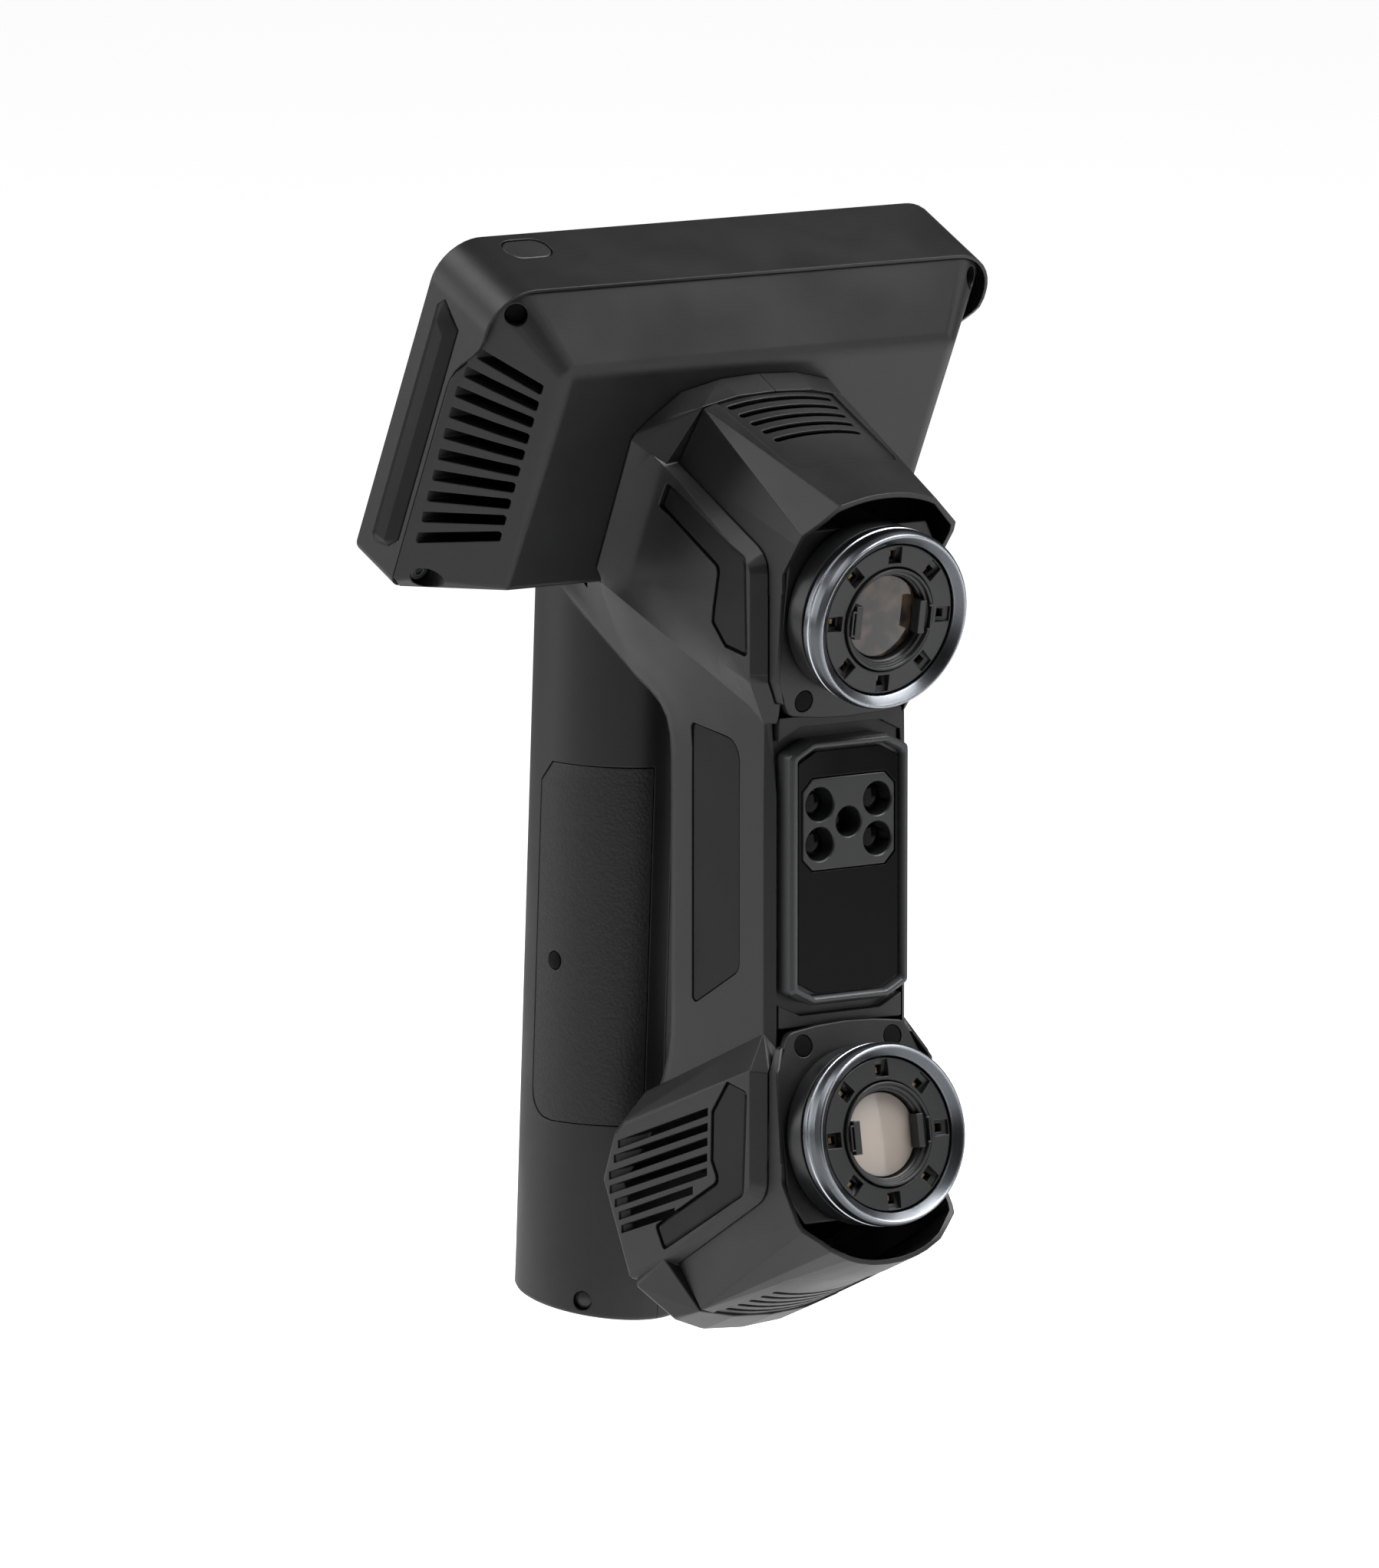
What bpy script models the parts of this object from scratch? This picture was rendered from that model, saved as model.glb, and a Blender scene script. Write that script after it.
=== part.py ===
"""Handheld 3-D scanner: two toed-in cameras and a projector on a bar, a display head and a pistol handle.

Every length below is in millimetres and becomes metres as a mesh is made.  Shapes are drawn about a
datum in the middle of the bar's front face: +X to the right of someone facing the optics' back, -Y the
way the optics look, +Z up.  The whole datum is then moved so that the handle's base is the origin.
"""
from math import cos, pi, radians, sin, tan

import bmesh
import bpy
from mathutils import Matrix, Vector

MM = 0.001
GAP = 0.3                    # clearance between neighbouring pieces
WALL = 2.4                   # wall of the moulded shells

BAR_HALF = 22.85             # optics bar: half width, front chamfer, depth, rear corner radius
BAR_CHAMFER = 2.7
BAR_DEPTH = 49.5
BAR_REAR_RADIUS = 8.0
HORN_HALF = 29.0             # half width of the flared stretches beside the cameras
SEAM_HALF = 25.3             # half width at the hoods' seams
SEAM_FRONT = -3.2
SEAM_TOP = {True: 104.5, False: 108.0}   # height of the rear corner of the upper and the lower hood's seam

LENS_HEIGHT = 67.6           # cameras: height above the datum, reach in front of it, toe-in
LENS_REACH = 21.0
TOE_IN = 9.4
PLATE_DEPTH = -13.7          # front face of a lens plate on the camera's own axis
PLATE_THICK = 2.6
TRIM_DEPTH = 1.2             # pockets that the inlays, name panels and grip pads sit in
PLATE_CAP = (14.4, 24.8)     # screw caps of a lens plate, either side of its middle towards the hood
CAP_RADIUS = 2.8
BARREL_RADIUS = 23.5
SPIGOT_RADIUS = 20.4
RING_RADIUS = 24.0
LED_COUNT = 8
LED_FACE_RADIUS = 20.0

PROJECTOR_HALF = (19.1, 34.9)
PROJECTOR_CUT = (7.0, 3.6)
PROJECTOR_FRONT = -4.8
APERTURE_CENTRE = 12.6       # height of the middle aperture
APERTURE_STEP = (9.3, 5.25)
APERTURE_RADIUS = 4.4

HEAD_TILT = 25.5             # display head: lean, distance of its screen plane from the datum
HEAD_OFFSET = 129.7
HEAD_HALF = 81.0
HEAD_LOW, HEAD_HIGH = 25.4, 120.2
HEAD_CORNER = 12.5
HEAD_FOOT = 3.0
RIM_WALL = 1.9
PARTING_DEEP, PARTING_SHALLOW = 28.0, 18.9
COVER_SPRING = 22.4          # depth at which the cover starts to slope behind the top lip
CAP_DEPTH = 26.6
BACK_HALF = 62.0
BACK_LOW, BACK_HIGH, BACK_DEPTH = 36.8, 102.0, 42.5
VENT_COUNT = 10
VENT_PITCH, VENT_INNER_PITCH = 6.46, 4.94      # spacing of the vents at the rim and at the back face
HEAD_SCREW = (75.2, 31.4)    # lower screws of the back cover, (half spacing, height)

HANDLE_A, HANDLE_B = 20.5, 26.5      # half axes of the oval grip
HANDLE_TILT = 3.0
BASE_Y, BASE_Z, BASE_TILT = 108.6, -129.7, 6.0
BATTERY_A, BATTERY_B, BATTERY_LENGTH = 16.9, 22.9, 104.0
PAD_ARC = (11.5, -72.0)      # rubber pads: rear and front edges in degrees round the oval
PAD_LOW, PAD_HIGH = -79.0, 17.5
PAD_TURN = 2.4               # degrees of that arc to a millimetre

BUTTON_SLOPE_TOP = (106.6, 77.4)     # thumb slope behind the screen, (y, z) of its upper and lower ends
BUTTON_SLOPE_LOW = (124.6, 55.0)

OPENNESS = 200.0             # reach of a cutter that runs right out of a piece


# ---------------------------------------------------------------- scene, frames and materials

def clear_scene():
    for item in list(bpy.data.objects):
        bpy.data.objects.remove(item, do_unlink=True)


def material(name, colour, roughness, metallic=0.0):
    made = bpy.data.materials.new(name)
    made.use_nodes = True
    shader = made.node_tree.nodes["Principled BSDF"]
    shader.inputs["Base Color"].default_value = (*colour, 1.0)
    shader.inputs["Roughness"].default_value = roughness
    shader.inputs["Metallic"].default_value = metallic
    made.diffuse_color = (*colour, 1.0)
    return made


def frame(name, origin, turn_x=0.0, parent=None):
    """An empty at origin, turned about X by turn_x degrees."""
    empty = bpy.data.objects.new(name, None)
    bpy.context.collection.objects.link(empty)
    empty.empty_display_size = 0.01
    empty.location = Vector(origin) * MM
    empty.rotation_euler = (radians(turn_x), 0.0, 0.0)
    empty.parent = parent
    bpy.context.view_layer.update()
    return empty


# ---------------------------------------------------------------- solids

def finish(name, shape, parent, look=None, smooth=None):
    """Turn a bmesh drawn in millimetres into an object of the given frame."""
    bmesh.ops.scale(shape, vec=(MM, MM, MM), verts=shape.verts)
    bmesh.ops.recalc_face_normals(shape, faces=shape.faces)
    mesh = bpy.data.meshes.new(name)
    shape.to_mesh(mesh)
    shape.free()
    if smooth is not None:
        mesh.shade_smooth()
        mesh.set_sharp_from_angle(angle=radians(smooth))
    made = bpy.data.objects.new(name, mesh)
    bpy.context.collection.objects.link(made)
    made.parent = parent
    if look:
        mesh.materials.append(look)
    bpy.context.view_layer.update()
    return made


def hull(name, points, parent, look=None):
    """Convex solid round a set of points."""
    shape = bmesh.new()
    for point in points:
        shape.verts.new(point)
    result = bmesh.ops.convex_hull(shape, input=shape.verts)
    loose = [item for item in result["geom_interior"] if isinstance(item, bmesh.types.BMVert)]
    bmesh.ops.delete(shape, geom=loose, context="VERTS")
    bmesh.ops.dissolve_limit(shape, angle_limit=radians(0.4), verts=shape.verts, edges=shape.edges)
    return finish(name, shape, parent, look)


def mirrored(points):
    """The points and their mirror images across the object's middle plane."""
    return [tuple(p) for p in points] + [(-p[0], p[1], p[2]) for p in points]


def flipped(points):
    """The same points below the lens axis instead of above it."""
    return [(x, y, -z) for x, y, z in points]


def loft(name, rings, parent, look=None, smooth=None):
    """Closed solid through rings with the same number of points."""
    shape = bmesh.new()
    rows = [[shape.verts.new(point) for point in ring] for ring in rings]
    count = len(rows[0])
    for low, high in zip(rows, rows[1:]):
        for i in range(count):
            j = (i + 1) % count
            shape.faces.new((low[i], low[j], high[j], high[i]))
    shape.faces.new(list(reversed(rows[0])))
    shape.faces.new(rows[-1])
    return finish(name, shape, parent, look, smooth)


def prism(name, outline, low, high, axis, parent, look=None, smooth=None):
    """Outline of (u, v) pairs pushed along one axis of the frame from low to high."""
    place = {"X": lambda u, v, w: (w, u, v), "Y": lambda u, v, w: (u, w, v), "Z": lambda u, v, w: (u, v, w)}
    rings = [[place[axis](u, v, w) for u, v in outline] for w in (low, high)]
    return loft(name, rings, parent, look, smooth)


def box(name, low, high, parent, look=None):
    (x0, y0, z0), (x1, y1, z1) = low, high
    return prism(name, [(x0, y0), (x1, y0), (x1, y1), (x0, y1)], z0, z1, "Z", parent, look)


def turned(name, profile, parent, look=None, segments=32, centre=(0.0, 0.0)):
    """Closed (radius, height) profile turned about the frame's Z axis through centre."""
    shape = bmesh.new()
    rows = []
    for radius, height in profile:
        if radius < 1e-6:
            rows.append([shape.verts.new((centre[0], centre[1], height))] * segments)
            continue
        rows.append([shape.verts.new((centre[0] + radius * cos(2 * pi * i / segments),
                                      centre[1] + radius * sin(2 * pi * i / segments), height))
                     for i in range(segments)])
    for row, following in zip(rows, rows[1:] + rows[:1]):
        for i in range(segments):
            j = (i + 1) % segments
            corners = []
            for corner in (row[i], row[j], following[j], following[i]):
                if corner not in corners:
                    corners.append(corner)
            if len(corners) > 2:
                shape.faces.new(corners)
    return finish(name, shape, parent, look, smooth=35)


def disc(name, radius, low, high, parent, look=None, segments=32, centre=(0.0, 0.0)):
    return turned(name, [(0, low), (radius, low), (radius, high), (0, high)], parent, look, segments, centre)


def stud(name, parent, centre, normal, radius, low, high, look=None, segments=20):
    """Cylinder along any direction, from low to high measured from a centre point."""
    made = disc(name, radius, low, high, parent, look, segments)
    turn = Vector((0, 0, 1)).rotation_difference(Vector(normal)).to_matrix().to_4x4()
    made.data.transform(Matrix.Translation(Vector(centre) * MM) @ turn)
    bpy.context.view_layer.update()
    return made


def filleted(corners, radius, steps=3):
    """Outline with every corner rounded; radius is one number or one for each corner."""
    radii = radius if isinstance(radius, (list, tuple)) else [radius] * len(corners)
    outline = []
    for i, corner in enumerate(corners):
        here = Vector(corner)
        before = (Vector(corners[i - 1]) - here).normalized()
        after = (Vector(corners[(i + 1) % len(corners)]) - here).normalized()
        if radii[i] <= 0:
            outline.append(tuple(here))
            continue
        half = before.angle(after) / 2
        reach = radii[i] / tan(half)
        start, end = here + before * reach, here + after * reach
        middle = here + (before + after).normalized() * radii[i] / sin(half)
        for k in range(steps + 1):
            t = k / steps
            arm = (start - middle).lerp(end - middle, t).normalized() * radii[i]
            outline.append(tuple(middle + arm))
    return outline


def grown(corners, amount):
    """The outline moved outward by an amount, corners kept sharp."""
    points = [Vector(c) for c in corners]
    area = sum(a.x * b.y - b.x * a.y for a, b in zip(points, points[1:] + points[:1]))
    turn = 1.0 if area > 0 else -1.0
    moved = []
    for i, here in enumerate(points):
        before = (here - points[i - 1]).normalized()
        after = (points[(i + 1) % len(points)] - here).normalized()
        first, second = Vector((before.y, -before.x)) * turn, Vector((after.y, -after.x)) * turn
        moved.append(tuple(here + (first + second) * amount / (1 + first.dot(second))))
    return moved


def octagon(half_x, half_y, cut_x, cut_y):
    """Rectangle with its corners cut off."""
    side = [(half_x, -half_y + cut_y), (half_x, half_y - cut_y), (half_x - cut_x, half_y)]
    quarter = side + [(-half_x + cut_x, half_y), (-half_x, half_y - cut_y), (-half_x, -half_y + cut_y)]
    return quarter + [(-half_x + cut_x, -half_y), (half_x - cut_x, -half_y)]


def oval(half_x, half_y, centre, height, count=28):
    return [(half_x * cos(2 * pi * i / count), centre + half_y * sin(2 * pi * i / count), height)
            for i in range(count)]


# ---------------------------------------------------------------- joining and cutting

def bake(target):
    """Keep the evaluated mesh of an object and drop its modifiers."""
    bpy.context.view_layer.update()
    evaluated = target.evaluated_get(bpy.context.evaluated_depsgraph_get())
    mesh = bpy.data.meshes.new_from_object(evaluated)
    target.modifiers.clear()
    target.data = mesh


def combine(target, tool, operation):
    change = target.modifiers.new(operation.title(), "BOOLEAN")
    change.operation = operation
    change.solver = "EXACT"
    change.object = tool
    bake(target)
    bpy.data.objects.remove(tool, do_unlink=True)
    return target


def cut(target, *tools):
    for tool in tools:
        combine(target, tool, "DIFFERENCE")
    return target


def join(target, *tools):
    for tool in tools:
        combine(target, tool, "UNION")
    return target


def keep(target, tool):
    return combine(target, tool, "INTERSECT")


def rename(target, name, look):
    target.name = name
    target.data.name = name
    target.data.materials.clear()
    target.data.materials.append(look)
    return target


# ---------------------------------------------------------------- display head

def rim_outline(inset):
    """The head's outline seen square to the screen."""
    high, low, half = HEAD_HIGH - inset, HEAD_LOW + inset, HEAD_HALF - inset
    corners = [(half, low), (half, high), (-half, high), (-half, low)]
    wide, tight = HEAD_CORNER - inset, max(HEAD_FOOT - inset, 0.6)
    return filleted(corners, [tight, wide, wide, tight], 6)


def cover_volume(name, head, grow, back_grow=None):
    """Sloping back of the head: flush with the rim low down, tucked inside its deeper lip at the top."""
    inside = RIM_WALL + GAP - grow
    corner = HEAD_CORNER - inside
    half, high = HEAD_HALF - inside, HEAD_HIGH - inside
    points = []
    for k in range(7):
        turn = k * pi / 12
        for depth in (PARTING_SHALLOW + GAP - abs(grow), COVER_SPRING):
            points.append((half - corner + corner * cos(turn), high - corner + corner * sin(turn), depth))
    flank = HEAD_HALF + grow
    start = PARTING_SHALLOW + GAP - abs(grow)
    points += [(flank, 88.0, start), (flank, HEAD_LOW + HEAD_FOOT, start),
               (flank - HEAD_FOOT, HEAD_LOW - grow, start)]
    back = BACK_DEPTH + (grow if back_grow is None else back_grow)
    points += [(BACK_HALF + grow, BACK_LOW - grow, back), (BACK_HALF + grow, BACK_HIGH + grow, back)]
    return hull(name, mirrored(points), head)


def rim_volume(name, head, grow, look=None):
    return prism(name, rim_outline(-grow), -grow, PARTING_DEEP, "Z", head)


def head_volume(name, head):
    """Clearance round the whole head, for the shells below it."""
    return join(cover_volume(name, head, GAP, GAP), rim_volume("rim", head, GAP))


def parting_prism(name, head, side, shift):
    """Half space on one side of the stepped parting surface between bezel and back cover."""
    step = [(-OPENNESS, PARTING_SHALLOW + shift), (91.0, PARTING_SHALLOW + shift),
            (98.0, 24.0 + shift), (106.0, PARTING_DEEP + shift), (OPENNESS, PARTING_DEEP + shift)]
    reach = OPENNESS if side > 0 else -OPENNESS
    outline = step + [(OPENNESS, reach), (-OPENNESS, reach)]
    return prism(name, outline, -OPENNESS, OPENNESS, "X", head)


def vent_slots(name, head, side):
    """Fanned slots through the sloping flank of the back cover, joined by nothing: one cutter each."""
    slots = []
    for i in range(VENT_COUNT):
        start = 21.8 + max(0.0, 2.5 - 1.6 * i)
        outer, inner = 98.4 - VENT_PITCH * i, 94.5 - VENT_INNER_PITCH * i
        outline = [(outer, start), (outer + 3.3, start), (inner + 3.1, 38.7), (inner, 38.7)]
        low, high = (58.0, 90.0) if side > 0 else (-90.0, -58.0)
        slots.append(prism("%s_%d" % (name, i), outline, low, high, "X", head))
    return slots


def build_head(head, look):
    bezel = keep(rim_volume("head_bezel", head, 0.0), parting_prism("front_half", head, -1, 0.0))
    cut(bezel, prism("bezel_room", rim_outline(RIM_WALL), 3.6, OPENNESS, "Z", head),
        prism("glass_seat", glass_outline(GAP), -5.0, 1.5, "Z", head),
        box("panel_window", (-73.8, 32.4, -5), (73.8, 112.8, 10), head),
        power_button_solid("button_hole", head, GAP, -6.0))
    rename(bezel, "head_bezel", look["shell"])
    prism("screen_glass", glass_outline(0.0), 0.1, 1.2, "Z", head, look["glass"])
    box("lcd_panel", (-73.2, 33.0, 1.6), (73.2, 112.2, 5.4), head, look["panel"])

    cover = cut(cover_volume("head_back_cover", head, 0.0), cover_volume("cover_room", head, -WALL))
    lip = keep(rim_volume("lip", head, 8.0), parting_prism("lip_side", head, -1, GAP))
    cut(cover, cut(lip, prism("lip_inside", rim_outline(RIM_WALL + GAP), -OPENNESS, OPENNESS, "Z", head)))
    cut(cover, *vent_slots("left_vent", head, -1), *vent_slots("right_vent", head, 1))
    cut(cover, box("neck_way", (-20, 52, 38), (20, 84, 50), head))
    for side, word in ((-1, "left"), (1, "right")):
        centre, lean = Vector((72.0 * side, 113.0, CAP_DEPTH)), Vector((0.55 * side, 0.25, 0.8))
        cut(cover, stud("cap_seat", head, centre, lean, 3.1, -1.4, 12.0))
        cut(cover, disc("screw_well", 3.0, 16.0, 60, head, segments=16,
                        centre=(HEAD_SCREW[0] * side, HEAD_SCREW[1])))
        stud("head_screw_cap_" + word, head, centre, lean, 2.8, -1.1, 0.1, look["cap"])
    rename(cover, "head_back_cover", look["shell"])
    for side, word in ((-1, "left"), (1, "right")):
        bumper(head, side, word, look)
    boards_and_cooling(head, look)


def glass_outline(grow):
    return filleted(grown([(77.1, 29.3), (77.1, 116.1), (-77.1, 116.1), (-77.1, 29.3)], grow), 6.7 + grow)


def bumper(head, side, word, look):
    """Raised facetted strip along the rim beside the screen, pointed at its top."""
    outline = [(105.4, 6.8), (101.0, 16.6), (37.4, 17.1), (34.6, 13.1), (31.0, 6.0), (100.0, 5.4)]
    foot = HEAD_HALF + GAP / 2
    ridge = [(v - (1.6 if v > 60 else -1.6), 11.0 + 0.6 * (z - 11.0)) for v, z in outline]
    rings = [[(side * foot, v, z) for v, z in outline], [(side * (foot + 1.7), v, z) for v, z in ridge]]
    loft("side_bumper_" + word, rings, head, look["rubber"])


def power_button_solid(name, head, grow, low, look=None):
    """Slot-shaped key in the top rim; the shape is drawn looking down on the rim."""
    outline = filleted([(-64.6 - grow, 4.6 - grow), (-53.2 + grow, 4.6 - grow),
                        (-53.2 + grow, 12.0 + grow), (-64.6 - grow, 12.0 + grow)], 3.2)
    return prism(name, outline, HEAD_HIGH + low, HEAD_HIGH + (8 if look is None else -0.55), "Y", head, look)


def boards_and_cooling(head, look):
    key = power_button_solid("power_button", head, 0.0, -5.2, look["button"])
    move_origin(key, Vector((-58.9, HEAD_HIGH, 8.3)))
    board = box("head_mainboard", (-62, 36, 12.0), (40, 108, 13.6), head)
    join(board, box("chip_a", (-40, 60, 13.2), (-22, 78, 15.0), head),
         box("chip_b", (6, 82, 13.2), (20, 94, 14.8), head))
    rename(board, "head_mainboard", look["board"])
    sink = box("heatsink", (-48, 52, 15.4), (-14, 86, 18.0), head)
    for i in range(7):
        join(sink, box("fin", (-48, 52.5 + 5.2 * i, 17.5), (-14, 54.5 + 5.2 * i, 30.0), head))
    rename(sink, "heatsink", look["metal"])
    housing = box("fan_housing", (-8, 48, 18.0), (34, 90, 29.0), head)
    cut(housing, disc("fan_bore", 19.4, 10, 27.4, head, centre=(13, 69)),
        disc("fan_outlet", 14.0, 10, 40, head, centre=(13, 69)))
    rename(housing, "fan_housing", look["frame"])
    rotor = disc("fan_rotor", 8.5, 18.8, 26.6, head, segments=20, centre=(13, 69))
    for i in range(7):
        turn = Matrix.Translation(Vector((13, 69, 0))) @ Matrix.Rotation(2 * pi * i / 7, 4, "Z")
        blade = [(7.5, -0.8, 19.4), (18.4, -3.6, 19.4), (18.6, -2.4, 19.4), (7.5, 0.8, 19.4),
                 (7.5, 0.9, 26.0), (18.4, 2.4, 26.0), (18.2, 3.6, 26.0), (7.5, 2.4, 26.0)]
        join(rotor, hull("blade", [turn @ Vector(p) for p in blade], head))
    rename(rotor, "fan_rotor", look["frame"])
    move_origin(rotor, Vector((13, 69, 18.8)))


def move_origin(target, origin):
    """Put an object's origin at a point given in millimetres of its own frame."""
    target.data.transform(Matrix.Translation(-origin * MM))
    target.location = origin * MM
    bpy.context.view_layer.update()


# ---------------------------------------------------------------- body shells

def hood_points(inset, upper):
    """Corner points of a hood's tongue, drawn upward: lip at the front, seam with the side shells behind."""
    reach = Vector((0, -9, -4)) if inset else Vector((0, 0, 0))
    back = Vector((0, 14, 4)) if inset else Vector((0, 0, 0))
    drop = Vector((0, 0.42, -0.91)) * inset
    side = SEAM_HALF - inset
    lip = [(17.4 - 0.6 * inset, -19.5, 97.5), (side + 0.1, -14.0, 89.0), (side, -8.7, 78.0)]
    seam = [(side, SEAM_FRONT, 78.0), (side, -2.2, 83.2), (side, 2.0, 87.2), (side, 36.9, SEAM_TOP[upper]),
            (22.6 - 0.6 * inset, 29.9, 119.4)]
    points = [Vector(p) + reach + (drop if p[2] > 85 else Vector()) for p in lip]
    points += [Vector(p) + back * (1 if p[1] > 0 else 0.3) + (drop if p[2] > 110 else Vector()) for p in seam]
    crown = [Vector((0, -20.0, 100.3)) + reach + drop, Vector((0, 28.6, 122.0)) + back + drop]
    return mirrored(points + crown)


def cheek_points():
    """The hood's narrow cheek beside the lens plate, on one side."""
    outer, inner, back = SEAM_HALF, SEAM_HALF - WALL, SEAM_FRONT
    return [(outer, -8.9, 82), (outer, -6.0, 51.5), (outer, back, 51.5), (outer, back, 82),
            (inner, -8.9, 82), (inner, -6.0, 50.5), (inner, back, 50.5), (inner, back, 82),
            (21.4, -4.6, 45.0), (21.4, back, 45.0)]


def place(points, upper):
    return points if upper else flipped(points)


def hood_volume(name, datum, upper, grow):
    """Space taken by a hood, for the side shells to be cut back from."""
    corners = hood_points(0.0, upper)
    tongue = [(x + (grow if x > 0 else -grow), y + grow, z - grow * 0.6) for x, y, z in corners]
    tongue += [(x, y - 8, z + 14) for x, y, z in corners]
    volume = hull(name, place(tongue, upper), datum)
    cheek = [(x + (grow if x > 0 else -grow), y + grow, z) for x, y, z in mirrored(cheek_points())]
    cheek += [(x, y - 12, z) for x, y, z in cheek]
    return join(volume, hull("cheek", place(cheek, upper), datum))


def body_envelope(datum):
    """Outer form of the joined left and right shells, hoods excepted."""
    front = BAR_HALF - BAR_CHAMFER
    section = [(-front, 0.0), (front, 0.0), (BAR_HALF, BAR_CHAMFER)]
    for k in range(5):
        turn = k * pi / 8
        section.append((BAR_HALF - BAR_REAR_RADIUS + BAR_REAR_RADIUS * cos(turn),
                        BAR_DEPTH - BAR_REAR_RADIUS + BAR_REAR_RADIUS * sin(turn)))
    section += [(-x, y) for x, y in reversed(section[3:])] + [(-BAR_HALF, BAR_CHAMFER)]
    body = prism("envelope", section, -60.0, 48.0, "Z", datum)
    horn = HORN_HALF
    seam = SEAM_HALF
    cheek = [(seam, SEAM_FRONT, 50.5), (seam, SEAM_FRONT, 80.0), (seam, -2.2, 83.2), (seam, 2.0, 87.2),
             (seam, 36.9, 104.5), (horn, 1.0, 51.5), (horn, 1.0, 80.0)]
    upper = cheek + [(horn, 38.5, 102.5), (horn, 33.0, 61.0), (36.3, 44.6, 110.5), (35.5, 61.3, 75.3),
                     (32.0, 63.3, 70.9), (BAR_HALF, 3.2, 42.0), (BAR_HALF, 45.0, 44.0)]
    collar = [(25.3, 37.3, 104.9), (22.6, 30.2, 119.4), (24.0, 38.5, 123.1), (0.0, 28.8, 122.2),
              (0.0, 36.6, 126.0), (36.3, 44.6, 110.5), (horn, 38.6, 103.0), (30.0, 52.0, 92.0)]
    lower = flipped(cheek) + [(seam, 36.9, -108.0), (horn, 38.0, -106.0), (horn, 54.7, -114.3),
                              (horn, 65.0, -89.0), (horn, 62.0, -78.0), (horn, 57.0, -72.0),
                              (BAR_HALF, 3.2, -42.0), (BAR_HALF, 50.0, -54.0), (20.0, 67.0, -89.0)]
    keel = [(25.3, 37.2, -108.2), (22.6, 31.2, -119.6), (22.6, 43.0, -124.0), (horn, 54.7, -114.3),
            (horn, 38.6, -106.3), (0.0, 28.8, -122.2), (0.0, 44.0, -127.4), (18.0, 55.0, -116.0)]
    blocks = [hull("upper_horn", mirrored(upper), datum), hull("collar", mirrored(collar), datum),
              hull("lower_horn", mirrored(lower), datum), hull("keel", mirrored(keel), datum)]
    blocks.append(shoulder(datum))
    return join(body, *blocks, grip(datum))


def shoulder(datum):
    """The bridge above the finger gap, from the bar and the neck back to the handle."""
    points = [(BAR_HALF, 2.7, 30.0), (BAR_HALF, 41.5, 30.0), (15.0, 49.5, 30.0), (BAR_HALF, 52.0, 43.0),
              (18.0, 59.0, 43.0), (35.5, 61.3, 75.3), (32.0, 63.3, 70.9), (21.0, 72.0, 52.0),
              (19.0, 84.0, 58.0)]
    ring = [p for p in oval(HANDLE_A, HANDLE_B, 97.0, 78.0) if p[1] < 118.0]
    low = [p for p in oval(HANDLE_A, HANDLE_B, 99.2, 58.0) if p[1] < 118.0]
    return hull("shoulder", mirrored(points) + ring + low, datum)


def handle_centre(z):
    return BASE_Y - (z - BASE_Z) * tan(radians(HANDLE_TILT))


def grip(datum):
    """Oval grip, cut off square to its own lean at the base."""
    heights = (-140.0, -60.0, 20.0, 84.0)
    solid = loft("grip", [oval(HANDLE_A, HANDLE_B, handle_centre(z), z) for z in heights], datum)
    return cut(solid, base_cutter(datum, 0.0))


def base_cutter(datum, lift):
    """Everything below the tilted base plane, raised by lift."""
    rise = tan(radians(BASE_TILT))
    level = BASE_Z + lift
    outline = [(BASE_Y - 60, level - 60 * rise), (BASE_Y + 60, level + 60 * rise),
               (BASE_Y + 60, level - 80), (BASE_Y - 60, level - 80)]
    return prism("below_base", outline, -60, 60, "X", datum)


def thumb_cutter(name, datum, inward):
    """Everything behind the thumb slope, moved inward along its normal."""
    (y1, z1), (y0, z0) = BUTTON_SLOPE_TOP, BUTTON_SLOPE_LOW
    run = Vector((y1 - y0, z1 - z0)).normalized()
    normal = Vector((run[1], -run[0]))
    top, low = Vector((y1, z1)) + run * 60 - normal * inward, Vector((y0, z0)) - run * 30 - normal * inward
    outline = [tuple(top), tuple(low), tuple(low + normal * 90), tuple(top + normal * 90)]
    return prism(name, outline, -60, 60, "X", datum)


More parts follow.
